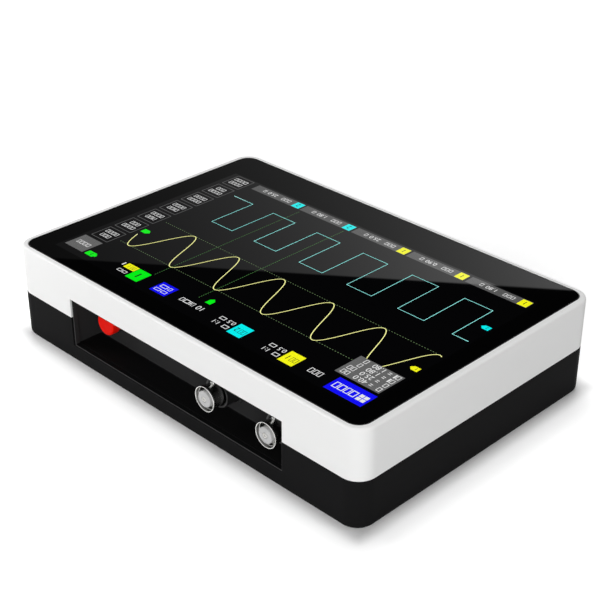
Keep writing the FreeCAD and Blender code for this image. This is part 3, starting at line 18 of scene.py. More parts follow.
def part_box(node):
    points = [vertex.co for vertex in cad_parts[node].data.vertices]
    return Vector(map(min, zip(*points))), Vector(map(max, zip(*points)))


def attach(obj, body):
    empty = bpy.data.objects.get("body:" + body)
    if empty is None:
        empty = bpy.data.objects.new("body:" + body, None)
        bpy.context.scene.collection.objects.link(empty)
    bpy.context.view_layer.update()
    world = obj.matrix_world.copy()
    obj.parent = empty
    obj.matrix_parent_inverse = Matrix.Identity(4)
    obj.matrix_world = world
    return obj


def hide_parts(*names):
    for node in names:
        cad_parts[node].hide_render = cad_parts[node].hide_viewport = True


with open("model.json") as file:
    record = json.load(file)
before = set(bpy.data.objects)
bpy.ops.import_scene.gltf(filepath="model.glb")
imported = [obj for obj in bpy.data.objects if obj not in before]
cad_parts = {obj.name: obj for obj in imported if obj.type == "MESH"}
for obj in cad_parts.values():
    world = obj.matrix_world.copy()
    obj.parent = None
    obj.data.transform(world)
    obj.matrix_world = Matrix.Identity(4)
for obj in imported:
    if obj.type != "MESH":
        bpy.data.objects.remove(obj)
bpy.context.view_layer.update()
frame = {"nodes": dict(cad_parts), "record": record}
nodes = frame["nodes"]

# %% [markdown]
# ## Measures
# Blender counts in metres and the drawing of the instrument in millimetres. One factor keeps the
# two apart, so that a number reads as a draughtsman would say it. What the solids can tell is
# read from them, so that it follows if they change.

# %% Levels read from the solids
MM = 0.001
glass_low, glass_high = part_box("cover_glass")
GLASS_TOP = glass_high.z
print("glass:", [round(value / MM, 2) for value in (*glass_low, *glass_high)])

# %% [markdown]
# ## Camera
# A product picture is taken from a little way off with a long lens, so that the far edge isn't
# much smaller than the near one. The camera stands off the corner with the connectors and looks
# down at about thirty degrees. Its axes are built from two angles, because a matrix is exact,
# where a tracking constraint would leave the roll to chance.

# %% Camera
CAMERA_PLACE = Vector((-307.48, 303.49, 267.95)) * MM
AZIMUTH, ELEVATION = math.radians(225.09), math.radians(29.4)
LENS, SENSOR = 81.07, 36  # focal length and film width, in millimetres


def linked(name, data):
    """A new object of the scene that shows this data."""
    item = bpy.data.objects.new(name, data)
    bpy.context.scene.collection.objects.link(item)
    return item


ground = math.cos(ELEVATION)
backward = Vector((math.sin(AZIMUTH) * ground, -math.cos(AZIMUTH) * ground, math.sin(ELEVATION)))
rightward = Vector((math.cos(AZIMUTH), math.sin(AZIMUTH), 0))
upward = backward.cross(rightward)
lens = bpy.data.cameras.new("studio_camera")
lens.sensor_width, lens.lens = SENSOR, LENS
camera = linked("studio_camera", lens)
camera.matrix_world = Matrix.Translation(CAMERA_PLACE) @ Matrix(
    (rightward, upward, backward)).transposed().to_4x4()
bpy.context.scene.camera = camera
bpy.context.scene.view_settings.view_transform = "Standard"
print("camera:", round(CAMERA_PLACE.length, 3), "m from the middle of the table")

# %% [markdown]
# ## Writing a finish
# A finish is a small network of nodes. Clicked together by hand it is easy to read, but in a
# script each link takes a line. A wrapper round an output socket lets the same network be written
# as a sum: adding two signals adds a Math node.

# %% A signal
class Signal:
    """Something that varies over a surface: an output socket, with arithmetic."""

    def __init__(self, finish, socket):
        self.finish, self.socket = finish, socket

    def __add__(self, other):
        return self.finish.math("ADD", self, other)

    def __sub__(self, other):
        return self.finish.math("SUBTRACT", self, other)

    def __rsub__(self, other):
        return self.finish.math("SUBTRACT", other, self)

    def __mul__(self, other):
        return self.finish.math("MULTIPLY", self, other)

    __radd__, __rmul__ = __add__, __mul__

    def __gt__(self, limit):
        return self.finish.math("GREATER_THAN", self, limit)

    def __lt__(self, limit):
        return self.finish.math("LESS_THAN", self, limit)


# %% [markdown]
# A finish holds one Principled shader and makes the nodes that feed it. One method adds any node,
# and the others are the few that most finishes share. Colours never go through a Math node, which
# would turn them grey, so they have their own mixing method. Each material is kept under its name,
# so that a later cell can ask for it.

# %% A finish
FINISHES = {}


class Finish:
    """A material with one Principled shader, and the nodes that feed it."""

    def __init__(self, name, **constants):
        FINISHES[name] = bpy.data.materials.new(name)
        FINISHES[name].use_nodes = True
        self.tree = FINISHES[name].node_tree
        self.shader = self.tree.nodes["Principled BSDF"]
        for socket, value in constants.items():
            self.shader.inputs[socket.replace("_", " ")].default_value = value

    def node(self, kind, settings=None, sockets=None, output=0):
        """Add any node: its settings first, then a value or a link for each named socket."""
        item = self.tree.nodes.new(kind)
        for setting, value in (settings or {}).items():
            setattr(item, setting, value)
        for socket, value in (sockets or {}).items():
            self.join(value, item.inputs[socket])
        return Signal(self, item.outputs[output])

    def join(self, value, socket):
        """Link a signal to a socket, or set the socket to a plain value."""
        if isinstance(value, Signal):
            self.tree.links.new(value.socket, socket)
        else:
            socket.default_value = value

    def math(self, operation, *values):
        return self.node("ShaderNodeMath", {"operation": operation}, dict(enumerate(values)))

    def vector(self, operation, *values, output=0):
        return self.node("ShaderNodeVectorMath", {"operation": operation},
                         dict(enumerate(values)), output)

    def point(self):
        return self.node("ShaderNodeTexCoord", output="Object")

    def place(self):
        """Where a point lies on the object, in metres, as three signals."""
        split = self.node("ShaderNodeSeparateXYZ", sockets={0: self.point()})
        return [Signal(self, output) for output in split.socket.node.outputs]

    def rays(self, *kinds):
        """For each kind of ray, a signal that is 1 where such a ray looks and 0 elsewhere."""
        path = self.node("ShaderNodeLightPath")
        return [Signal(self, path.socket.node.outputs[f"Is {kind} Ray"]) for kind in kinds]

    def noise(self, size, detail=2.0, stretch=(1, 1, 1)):
        """Cloudy grey from 0 to 1, its clouds about `size` metres across."""
        scaled = self.vector("MULTIPLY", self.point(), stretch)
        return self.node("ShaderNodeTexNoise", {}, {"Vector": scaled, "Scale": 1 / size,
                                                    "Detail": detail})

    def ramp(self, signal, start, end, low=0.0, high=1.0, kind="LINEAR"):
        """Rise from `low` to `high` as a signal goes from `start` to `end`."""
        return self.node("ShaderNodeMapRange", {"interpolation_type": kind},
                         {"Value": signal, "From Min": start, "From Max": end,
                          "To Min": low, "To Max": high})

    def mix(self, amount, first, second):
        """A colour between two, by a signal from 0 to 1."""
        item = self.tree.nodes.new("ShaderNodeMix")
        item.data_type = "RGBA"
        for index, value in ((0, amount), (6, first), (7, second)):
            self.join(value, item.inputs[index])
        return Signal(self, item.outputs[2])

    def feed(self, socket, signal):
        self.tree.links.new(signal.socket, self.shader.inputs[socket])

    def bump(self, height, depth):
        """Let a signal from 0 to 1 raise the surface by up to `depth` metres."""
        self.feed("Normal", self.node("ShaderNodeBump", {}, {"Distance": depth, "Height": height}))


def rgb(red, green, blue):
    return (red, green, blue, 1.0)


def grey(value):
    return rgb(value, value, value)


# %% [markdown]
# ## Studio
# The instrument lies on a white table that runs on out of sight. Soft lamps and a weak light from
# all round give each wall its own grey, so that every edge can be read. A mirror, and cover glass
# is nearly one, shows whatever stands opposite. A black card there keeps most of the glass deep
# black, and the bright gap under the card's edge draws one clean slanted reflection. The card is
# part of the world's light: a patch of the sky, seen by reflections alone.

# %% Sky
CARD_NORMAL = (-0.2911, 0.3775, 0.8791)  # square to the plane of the card's lower edge
CARD_MIDDLE = (0.617, -0.615, 0.491)  # towards the middle of the card
CARD_EDGE = 0.0008  # half the width over which its lower edge blurs
CARD_ENDS, CARD_FULL = 30, 18  # degrees from its middle
GAP_BEARING, GAP_FADE = 42, 7.3  # degrees, and how fast the gap darkens from there
GAP_LIGHT, GAP_MOST = 0.1, 0.8  # its light at that bearing, and the most it may have
SKY_IN_MIRRORS, SOFT_LIGHT = 0.75, 0.1  # beside the card, and the weak light all round

world = bpy.data.worlds.new("studio_sky")
bpy.context.scene.world = world
world.use_nodes = True


class Sky(Finish):
    """The same way of writing nodes, for the world instead of a material."""

    def __init__(self, tree):
        self.tree = tree
        self.shader = tree.nodes["Background"]

    def along(self, axis):
        """How far each direction points along an axis, from -1 to 1."""
        direction = self.node("ShaderNodeTexCoord", output="Generated")
        return self.vector("DOT_PRODUCT", direction, axis, output="Value")


sky = Sky(world.node_tree)
bearing = sky.math("ARCTAN2", sky.along((0, 1, 0)), sky.along((1, 0, 0)))
gap_light = sky.math("EXPONENT", (bearing + math.radians(GAP_BEARING)) * -GAP_FADE) * GAP_LIGHT
under_card = 1 - sky.ramp(sky.along(CARD_NORMAL), -CARD_EDGE, CARD_EDGE, kind="SMOOTHSTEP")
near_card = sky.ramp(sky.along(CARD_MIDDLE), math.cos(math.radians(CARD_ENDS)),
                     math.cos(math.radians(CARD_FULL)), kind="SMOOTHSTEP")
reflected = (near_card * (under_card * sky.math("MINIMUM", gap_light, GAP_MOST))
             + (1 - near_card) * SKY_IN_MIRRORS)
seen, mirrored, through = sky.rays("Camera", "Glossy", "Transmission")
plain = sky.math("MINIMUM", seen + through, 1.0)
sky.feed("Strength", plain + (1 - plain) * (mirrored * reflected + (1 - mirrored) * SOFT_LIGHT))
sky.shader.inputs["Color"].default_value = grey(1)
print("sky:", len(sky.tree.nodes), "nodes")

# %% [markdown]
# The table top is a plain matt plane, far larger than the view. To the camera and in mirrors it is
# paper that glows: hardly at the foot of the walls, where the shadow has to stay and the weak glow
# paints it darker, a painted shadow over the real one, more beyond that, and fully far out, so that
# it meets the white sky without a horizon. To all other light it is grey, so that it doesn't light
# the walls from below.
# An operator acts on all that is selected, so a helper clears the selection before each new piece.

# %% Table
TABLE_SIZE = 12  # metres
CASING_HALF = (0.0885, 0.06, 0.0)  # metres from the middle to the walls
# Near the walls the glow is weak: a painted shadow that deepens the real contact shadow.
CONTACT_WIDTH = 0.005  # metres over which the contact shadow clears
GLOW_AT_WALL, GLOW = 0.03, 0.4  # shares of the full glow
SKY_STARTS, SKY_FULL = 0.25, 1.5  # metres from the middle of the table
PAPER_LIT, PAPER_SEEN = 0.5, 0.98  # its grey to the lamps and to the camera


def alone(*items):
    """Select these objects and nothing else, with the first of them active."""
    bpy.ops.object.select_all(action="DESELECT")
    for item in items:
        item.select_set(True)
    if items:
        bpy.context.view_layer.objects.active = items[0]


paper = Finish("table_paper", Roughness=0.9, Specular_IOR_Level=0.1, Emission_Strength=1.0)
seen, mirrored, through = paper.rays("Camera", "Glossy", "Transmission")
looked_at = paper.math("MINIMUM", seen + mirrored + through, 1.0)
past_wall = paper.vector("SUBTRACT", paper.vector("ABSOLUTE", paper.point()), CASING_HALF)
from_wall = paper.vector("LENGTH", paper.vector("MAXIMUM", past_wall, (0, 0, 0)), output="Value")
from_middle = paper.vector("LENGTH", paper.point(), output="Value")
# Painted shadow: the glow is small at the foot of the walls and rises over CONTACT_WIDTH.
glow = (paper.ramp(from_wall, 0, CONTACT_WIDTH, GLOW_AT_WALL, GLOW)
        + paper.ramp(from_middle, SKY_STARTS, SKY_FULL, 0, 1 - GLOW))
paper.feed("Base Color", paper.mix(looked_at, grey(PAPER_LIT), grey(PAPER_SEEN)))
paper.feed("Emission Color", paper.mix(looked_at * glow, grey(0), grey(1)))

alone()
bpy.ops.mesh.primitive_plane_add(size=TABLE_SIZE)
table = bpy.context.object
table.name = "table_top"
table.data.materials.append(FINISHES["table_paper"])
print("table:", [round(side, 2) for side in table.dimensions], "m")

# %% [markdown]
# Five square lamps look at the instrument. The large one over the connectors lights the long side,
# a small one near it makes the upright corner the palest place, and a weak one keeps the short side
# a step darker. A very small lamp at the far end lifts the black shell there, and the one above
# draws a soft shadow towards the camera. None of them is mirrored in the glass.

# %% Lamps
LAMPS = {  # place and size in metres, power in watts
    "lamp_over_connectors": ((-0.55, 1.46, 0.5), 0.8, 10.8),
    "lamp_at_corner": ((-0.6, 0.6, 0.22), 0.2, 2.05),
    "lamp_beside": ((-0.9, -0.4, 0.3), 0.4, 1.2),
    "small_lamp_at_end": ((0.32, 0.18, 0.13), 0.12, 0.47),
    "lamp_above": ((0.35, -0.35, 1.6), 0.7, 12.8),
}
for name, (place, size, power) in LAMPS.items():
    lamp = bpy.data.lights.new(name, "AREA")
    lamp.shape, lamp.size, lamp.energy = "SQUARE", size, power
    holder = linked(name, lamp)
    holder.location = place
    holder.rotation_euler = Vector(place).to_track_quat("Z", "Y").to_euler()
    holder.visible_glossy = False
print("lamps:", len(LAMPS), "with", round(sum(lamp[2] for lamp in LAMPS.values()), 1), "W in all")

# %% [markdown]
# ## Finishes of the mouldings
# The shells are moulded in a mould whose walls are spark-eroded, which prints a fine even grain
# on the plastic. The grain is far below a millimetre, so it shows as a soft, slightly cloudy sheen
# and not as bumps. Two noises write it: a fine one for the grain, and a broad, faint one for the
# uneven gloss that handling leaves. The floor of the bay is painted a darker black than its walls,
# as painted shade, and the front edge of the frame round its mouth is painted a little paler, as a
# painted highlight.

# %% Moulded plastic
BAY_FLOOR, BAY_FRONT = 7.7, 59.6  # just above the bay's floor, and its front, in mm
HANDLING = 28  # breadth of the clouds that handling leaves, in mm


def moulded(name, colour, roughness, grain=0.35, depth=0.02, cloud=0.04, painted_shade=None, painted_highlight=None,
            **constants):
    """Moulded plastic: grain and depth in millimetres, cloud as a share of the colour, and where
    it has them, the colours of the painted shade on the bay's floor and of the painted highlight on
    its front edge."""
    finish = Finish(name, **constants)
    handling = finish.noise(HANDLING * MM, detail=3)
    fine = finish.noise(grain * MM, detail=2)
    darker, lighter = (rgb(*(min(1, value * share) for value in colour))
                       for share in (1 - cloud, 1 + cloud))
    base = finish.mix(handling * 0.6 + fine * 0.4, darker, lighter)
    # Painted shade: low in the bay and behind its front, the colour is a darker black. Painted
    # highlight: in front of the bay's front, a paler one.
    if painted_shade:
        _, y, z = finish.place()
        behind_front = y < BAY_FRONT * MM
        base = finish.mix((z < BAY_FLOOR * MM) * behind_front, base, rgb(*painted_shade))
        if painted_highlight:
            base = finish.mix(1 - behind_front, base, rgb(*painted_highlight))
    finish.feed("Base Color", base)
    finish.feed("Roughness", handling * 0.08 + fine * 0.06 + (roughness - 0.07))
    finish.bump(fine, depth * MM)


# The second black is painted shade for the bay's floor, darker than the black of the walls.
BAY_BLACK, PAINTED_SHADE_BLACK = (0.027, 0.027, 0.0276), (0.0065, 0.0065, 0.0068)
moulded("white_casing", (0.86, 0.86, 0.855), 0.5, cloud=0.012, depth=0.012)
moulded("black_casing", (0.0095, 0.0095, 0.0098), 0.5, cloud=0.15, IOR=1.06)
moulded("bay_liner", BAY_BLACK, 0.5, cloud=0.15, painted_shade=PAINTED_SHADE_BLACK, IOR=1.06)
# The lip's front edge is painted paler, a painted highlight, and its low side takes the floor's
# painted shade.
moulded("bay_lip", BAY_BLACK, 0.5, cloud=0.1, depth=0.01, painted_shade=PAINTED_SHADE_BLACK,
        painted_highlight=(0.06, 0.06, 0.061), IOR=1.06)
moulded("red_button", (0.93, 0.009, 0.003), 0.4, cloud=0.02, depth=0.006, Specular_IOR_Level=0.12)
moulded("foot_rubber", (0.018, 0.018, 0.018), 0.75, grain=0.2, depth=0.03)
moulded("switch_case", (0.05, 0.05, 0.052), 0.5)
moulded("switch_stem", (0.7, 0.7, 0.66), 0.4, cloud=0.02)
moulded("black_moulding", (0.011, 0.011, 0.011), 0.42, cloud=0.15)
moulded("relay_case", (0.75, 0.74, 0.7), 0.4, cloud=0.02)
moulded("chip_case", (0.02, 0.02, 0.021), 0.55, grain=0.15)
moulded("pale_moulding", (0.78, 0.75, 0.64), 0.45, cloud=0.02)
moulded("lead_rubber", (0.35, 0.015, 0.012), 0.5, grain=0.2)
moulded("bonding_tape", (0.02, 0.02, 0.02), 0.8, grain=0.25, depth=0.03)
moulded("light_guide", (0.82, 0.83, 0.84), 0.35, cloud=0.01)
moulded("jack_core", (0.5, 0.5, 0.5), 0.35, cloud=0.03, depth=0.004)
moulded("lamp_lens", (0.75, 0.76, 0.74), 0.25, cloud=0.03, depth=0.003)
print("finishes so far:", len(FINISHES))

# %% [markdown]
# ## Finishes of the metals
# Plated brass is smooth and bright, drawn cans carry a faint grain along the pull, and screws are
# a little duller. All are one recipe: the streaks of a stretched noise in the gloss, and a faint
# cloud of tarnish in the gloss and the colour.

# %% Metal
METAL_GRAIN, METAL_CLOUD = 0.6, 9  # millimetres


def metal(name, colour, roughness, streak=(1, 1, 1), spread=0.1, depth=0.004):
    """Bare metal: streak stretches its grain, and spread is how far its roughness varies."""
    finish = Finish(name, Metallic=1.0)
    grain = finish.noise(METAL_GRAIN * MM, detail=2, stretch=streak)
    cloud = finish.noise(METAL_CLOUD * MM, detail=2)
    darker = rgb(*(value * 0.9 for value in colour))
    finish.feed("Base Color", finish.mix(cloud, darker, rgb(*colour)))
    finish.feed("Roughness", grain * spread + cloud * 0.05 + (roughness - spread / 2))
    finish.bump(grain, depth * MM)


metal("jack_nickel", (0.83, 0.83, 0.81), 0.2, streak=(1, 0.1, 1), spread=0.08)
metal("contact_brass", (0.72, 0.71, 0.68), 0.45)
metal("port_steel", (0.7, 0.7, 0.69), 0.28)
metal("screw_steel", (0.6, 0.6, 0.58), 0.35)
metal("pin_steel", (0.62, 0.61, 0.6), 0.3)
metal("shield_tin", (0.72, 0.72, 0.7), 0.38, streak=(1, 0.05, 1), spread=0.16)
metal("display_steel", (0.62, 0.62, 0.62), 0.34, streak=(0.05, 1, 1))
metal("capacitor_can", (0.76, 0.76, 0.77), 0.3)
metal("battery_foil", (0.66, 0.67, 0.69), 0.42, spread=0.2, depth=0.03)
print("finishes so far:", len(FINISHES))

# %% [markdown]
# ## Board, film and the cell of the display
# The board is glass cloth under green lacquer: the cloth shows as a faint weave, and the copper
# under the lacquer as straight paler runs. The amber film of the flat leads shows its copper too.
# Both patterns are stripes, made from the fractional part of a coordinate.

# %% Laminate, film and cell
STRIPES_FROM = 100  # whole stripes, added so that their count is never negative


def striped(finish, signal, pitch, share):
    """1 on stripes of a pitch in millimetres that take up a share of it, else 0."""
    return finish.math("FRACT", signal * (1 / (pitch * MM)) + STRIPES_FROM) < share


board = Finish("board_laminate", Coat_Roughness=0.2)
x, y, _ = board.place()
lanes = board.noise(9 * MM, detail=0) > 0.52
runs = striped(board, x, 1.6, 0.3) * lanes + striped(board, y, 1.6, 0.3) * (1 - lanes)
cloth = board.noise(0.5 * MM, detail=1)
board.feed("Base Color", board.mix(runs * 0.7 + cloth * 0.2, rgb(0.008, 0.09, 0.035),
                                   rgb(0.03, 0.2, 0.08)))
board.feed("Roughness", cloth * 0.1 + 0.3)
board.bump(runs, 0.03 * MM)

film = Finish("flex_film")
runs = striped(film, film.place()[0], 1.0, 0.55)
film.feed("Base Color", film.mix(runs, rgb(0.42, 0.17, 0.02), rgb(0.62, 0.33, 0.08)))
film.feed("Roughness", film.noise(2 * MM) * 0.1 + 0.28)
film.bump(runs, 0.02 * MM)

moulded("display_cell", (0.012, 0.012, 0.014), 0.2, depth=0.001)
print("board:", len(board.tree.nodes), "nodes, film:", len(film.tree.nodes))

# %% [markdown]
# ## Cover glass
# The cover glass is printed black on its underside all round, and clear over the display. Black
# print soaks up light, so there the glass mirrors with its front face alone. Over the display the
# face of the cell mirrors a second time. A clear coat over that field stands for the second
# mirror. A trace of uneven roughness is what a wiped screen keeps.

# %% Glass
PICTURE = (-78.6, 76.2, -41.4, 50.2)  # field of the display: low x, high x, low y, high y

glass = Finish("screen_glass", IOR=1.5, Coat_IOR=1.5, Coat_Roughness=0.006)
x, y, _ = glass.place()
low_x, high_x, low_y, high_y = (value * MM for value in PICTURE)
field = (x > low_x) * (x < high_x) * (y > low_y) * (y < high_y)
glass.feed("Base Color", glass.mix(field, rgb(0.0012, 0.0012, 0.0013),
                                   rgb(0.0022, 0.0022, 0.0026)))
glass.feed("Coat Weight", field * 0.95)
glass.feed("Roughness", glass.noise(35 * MM, detail=4) * 0.012 + 0.004)
print("display from", PICTURE[0], "to", PICTURE[1], "mm")

# %% [markdown]
# Each solid names the finish it takes, so that one loop dresses them all. A piece that is made
# later goes through the same steps and is also given its body and the solids that it takes the
# place of.

# %% Dress the solids
made = {}  # each new piece, with the number of its faces


def paint(piece, finish):
    piece.data.materials.clear()
    piece.data.materials.append(FINISHES[finish])


def dress(piece, body, finish, *replaced, slot=None):
    """Give a finished piece its body, its finish and the solids that it stands for."""
    paint(piece, finish)
    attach(piece, body)
    slot or finish
    if replaced:
        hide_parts(*replaced)
    made[piece.name] = len(piece.data.polygons)
    return piece


for part in frame["record"]["subparts"]:
    paint(nodes[part["node"]], part["material_slot"])
print("finishes:", len(FINISHES), "dressed:", len(nodes))

# %% [markdown]
# ## The picture on the screen
# A display lights up from behind the glass. Here each part of the picture is a film far thinner
# than paper that lies on the glass, in its own light and under the same gloss, so that the slanted
# reflection runs over picture and border alike. Real geometry stays sharp at any distance, where a
# painted texture would blur. Words are left out: short bars stand for them, as a designer greeks
# the text of a layout, and only plain numbers are written.

# %% Light of the display
FILM = 0.01 * MM
CELL, CELL_GAP = 0.3, 0.22  # pitch of the cells in mm, and the dark share of it


def lit(name, colour):
    """A film that shines, a little unevenly, because its light comes through rows of cells."""
    finish = Finish(name, Roughness=0.01, IOR=1.5, Coat_Weight=0.95, Coat_IOR=1.5,
                    Coat_Roughness=0.006, Emission_Strength=1.0)
    x, y, _ = finish.place()
    cells = striped(finish, x, CELL, CELL_GAP) + striped(finish, y, CELL, CELL_GAP)
    finish.feed("Base Color", finish.mix(cells * 0.5, grey(0.004), grey(0.001)))
    finish.feed("Emission Color", finish.mix(cells * 0.35, rgb(*colour), grey(0)))


for name, colour in (("white", (1.0, 1.0, 1.0)), ("yellow", (1.15, 1.15, 0.01)),
                     ("cyan", (0.0, 1.1, 1.1)), ("blue", (0.005, 0.004, 1.1)),
                     ("green", (0.0, 1.1, 0.01)), ("grey", (0.16, 0.16, 0.16)),
                     ("line_yellow", (1.35, 1.35, 0.45)), ("line_cyan", (0.45, 1.5, 1.4)),
                     ("line_green", (0.1, 0.32, 0.08)), ("line_olive", (0.2, 0.32, 0.14)),
                     ("line_grey", (0.12, 0.12, 0.12)), ("dark", (0.01, 0.01, 0.012))):
    lit(f"picture_{name}", colour)
print("film:", FILM / MM, "mm, lights:", sum(name.startswith("picture") for name in FINISHES))

# %% [markdown]
# Most of the picture is tiles: squares of colour, outlined buttons, dashes and bars. A tile is a
# plane with its corners rounded, pulled up by the thickness of the film. An outlined one is inset
# first, and the middle taken out. What has one colour is joined into one piece.

# %% Tiles
THIN, BLOCK_BORDER = 0.8, 0.16  # mm below which a bar is solid, and share of its side


def fresh(object_name):
    """The new object, with its name."""
    item = bpy.context.object
    item.name = item.data.name = object_name
    return item


def tile(low_x, high_x, low_y, high_y, corner=0.0, border=0.0, level=0):
    """A flat tile on the glass, in millimetres; with a border, only its outline."""
    alone()
    bpy.ops.mesh.primitive_plane_add(size=MM, location=(
        (low_x + high_x) / 2 * MM, (low_y + high_y) / 2 * MM, GLASS_TOP + level * FILM))
    item = fresh("tile")
    item.scale = (high_x - low_x, high_y - low_y, 1)
    bpy.ops.object.transform_apply()
    bpy.ops.object.mode_set(mode="EDIT")
    bpy.ops.mesh.select_all(action="SELECT")
    if corner:
        bpy.ops.mesh.bevel(offset=corner * MM, segments=3, affect="VERTICES")
    if border:
        bpy.ops.mesh.inset(thickness=border * MM)
        bpy.ops.mesh.delete(type="ONLY_FACE")
    bpy.ops.mesh.select_all(action="SELECT")
    bpy.ops.mesh.extrude_region_move(TRANSFORM_OT_translate={"value": (0, 0, FILM)})
    closed()
    return item


def closed():
    """Turn all faces outwards and leave edit mode."""
    bpy.ops.mesh.select_all(action="SELECT")
    bpy.ops.mesh.normals_make_consistent(inside=False)
    bpy.ops.object.mode_set(mode="OBJECT")


def show(name, colour, items):
    """Join what has one colour into one piece of the picture, on the casing."""
    alone(*items)
    if len(items) > 1:
        bpy.ops.object.join()
    dress(fresh(name), "casing", f"picture_{colour}", slot="screen_glass")


def bars(x, y, widths, height, gap=0.7, level=0):
    """A greeked line of words: one open block for each letter, or a stroke where it is thin."""
    row = []
    for width in widths:
        side = min(width, height)
        row.append(tile(x, x + width, y, y + height, level=level,
                        border=0 if side < THIN else side * BLOCK_BORDER))
        x += width + gap
    return row


# %% [markdown]
# Numbers are text objects in Blender's own plain letters. They are given the film's thickness as
# text, then made a mesh. Its front and side meet in doubled points, which are merged, so no seam
# stays open. A curve needs the same.

# %% Numbers
FIGURE = 0.72  # height of a figure as a share of its text's size


def seamless(item):
    """Merge the doubled points of a mesh that was a text or a curve."""
    bpy.ops.object.mode_set(mode="EDIT")
    bpy.ops.mesh.select_all(action="SELECT")
    bpy.ops.mesh.remove_doubles(threshold=0.001 * MM)
    closed()
    return item


def number(text, x, y, height, level=0, centred=False):
    """Plain figures on the glass, standing on y."""
    alone()
    bpy.ops.object.text_add(location=(x * MM, y * MM, GLASS_TOP + level * FILM + FILM / 2))
    item = fresh("number")
    item.data.body = text
    item.data.size = height / FIGURE * MM
    item.data.extrude = FILM / 2
    item.data.align_x = "CENTER" if centred else "LEFT"
    bpy.ops.object.convert(target="MESH")
    bpy.ops.object.transform_apply()
    return seamless(bpy.context.object)


# %% [markdown]
# ### Head of the screen
# Along the head run the menu, the settings of the two inputs, the sweep and the trigger, each a
# coloured tile.

# %% Head tiles
show("menu_tile", "blue", [tile(-78.3, -62.4, 41.3, 49.15), tile(16.8, 24.8, 40.3, 47.3)])
show("input_1_tile", "yellow", [tile(-47.1, -40.6, 40.95, 47.95), tile(38.7, 44.6, 40.05, 43.2)])
show("input_2_tile", "cyan", [tile(-22.45, -16.1, 40.8, 47.8)])
show("trigger_tile", "green", [tile(31.9, 38.4, 40.1, 47.35, corner=0.3),
                               tile(58.5, 63.0, 43.95, 46.85, corner=0.4),
                               tile(57.7, 58.5, 44.75, 46.05, level=0.2)])
show("control_tile", "grey", [tile(64.25, 74.75, 37.2, 46.9),
                              tile(-77.3, -58.4, 27.3, 39.8, level=1.7)])
print("head tiles:", made)

# %% [markdown]
# The marks on the tiles and beside them are white. Those on a tile lie one film higher.

# %% Marks on the head
window = [tile(-77.4 + 1.9 * i, -75.8 + 1.9 * i, 43.6 + 1.9 * j, 45.2 + 1.9 * j, level=1)
          for i in (0, 1) for j in (0, 1)]
show("menu_marks", "white", window + bars(-73.1, 43.7, (2.3, 1.9, 2.2, 2.0), 3.3, 0.35, level=1)
     + bars(17.8, 44.5, (2.6, 2.9), 1.6, level=1) + bars(18.2, 41.6, (1.4, 3.4), 1.9, level=1)
     + bars(66.0, 41.0, (1.5, 1.4, 1.5, 1.2), 2.2, 0.4, level=1)
     + bars(-57.6, 43.4, (1.5, 1.5, 1.6), 2.7, 0.4)
     + bars(39.7, 44.8, (2.0, 2.4), 1.6, 0.4) + bars(45.6, 40.6, (0.7,), 2.0)
     + bars(-39.6, 45.3, (2.6,), 1.9) + bars(-15.0, 45.1, (2.6,), 1.9)
     + bars(4.6, 42.7, (1.2, 0.5, 2.6, 1.6), 2.2, 0.4))
numbers = [number(text, x, y, height) for text, x, y, height in (
    ("1:1", -35.3, 45.2, 2.1), ("0.5", -39.6, 41.9, 2.1), ("1:1", -10.8, 45.0, 2.1),
    ("0.5", -15.0, 41.7, 2.1), ("10", -0.4, 42.6, 2.6))]
numbers += bars(-34.9, 42.0, (2.6,), 1.8) + bars(-10.3, 41.8, (2.6,), 1.8)
show("setting_numbers", "white", numbers)
print("marks:", made["menu_marks"], "faces, numbers:", made["setting_numbers"])

# %% [markdown]
# A tile's own number is dark on its colour: a black film that gives no light. The read-out is four
# rows of a name, a sign for equal, a value and its unit, and lies over the grey tile.

# %% Dark numbers and the read-out
dark = [number("1", -42.3, 43.4, 2.6, level=1, centred=True),
        number("2", -17.8, 43.2, 2.6, level=1, centred=True),
        number("1", 42.9, 40.8, 1.8, level=1, centred=True)]
for x, y in ((-46.5, 43.4), (-21.9, 43.2)):
    dark += bars(x, y, (1.3, 1.2), 2.6, 0.35, level=1)
dark += (bars(39.5, 40.8, (1.0, 0.9), 1.8, 0.3, level=1) + bars(34.8, 42.2, (0.7,), 3.2, level=1)
         + bars(60.1, 44.55, (0.35,), 1.7, level=1))
show("tile_numbers", "dark", dark)

READ_OUT_LEVEL, READ_OUT_PITCH = 2.7, 3.0  # in films, and in millimetres
read_out = []
for row, (text, name_marks, unit_marks) in enumerate((
        ("40.0", (1.5,), (1.4, 1.4)), ("25.0", (1.5,), (1.4, 1.4)),
        ("1.80", (1.4, 0.6), (1.4,)), ("1.80", (1.4, 0.6), (1.4,)))):
    y = 36.8 - READ_OUT_PITCH * row
    for x, raised, widths, height in ((-76.6, 0, name_marks, 2.2), (-72.9, 0.5, (1.2,), 0.3),
                                      (-72.9, 1.3, (1.2,), 0.3), (-62.9, 0, unit_marks, 2.2)):
        read_out += bars(x, y + raised, widths, height, 0.3, level=READ_OUT_LEVEL)
    read_out.append(number(text, -70.6, y, 2.3, level=READ_OUT_LEVEL))
show("read_out", "white", read_out)
print("dark numbers:", made["tile_numbers"], "faces, read-out:", made["read_out"])

# %% [markdown]
# ### Buttons at the side
# Seven outlined buttons lie in a column, each with two short lines of marks. One outline is
# repeated by an Array modifier, which keeps the pitch exact.

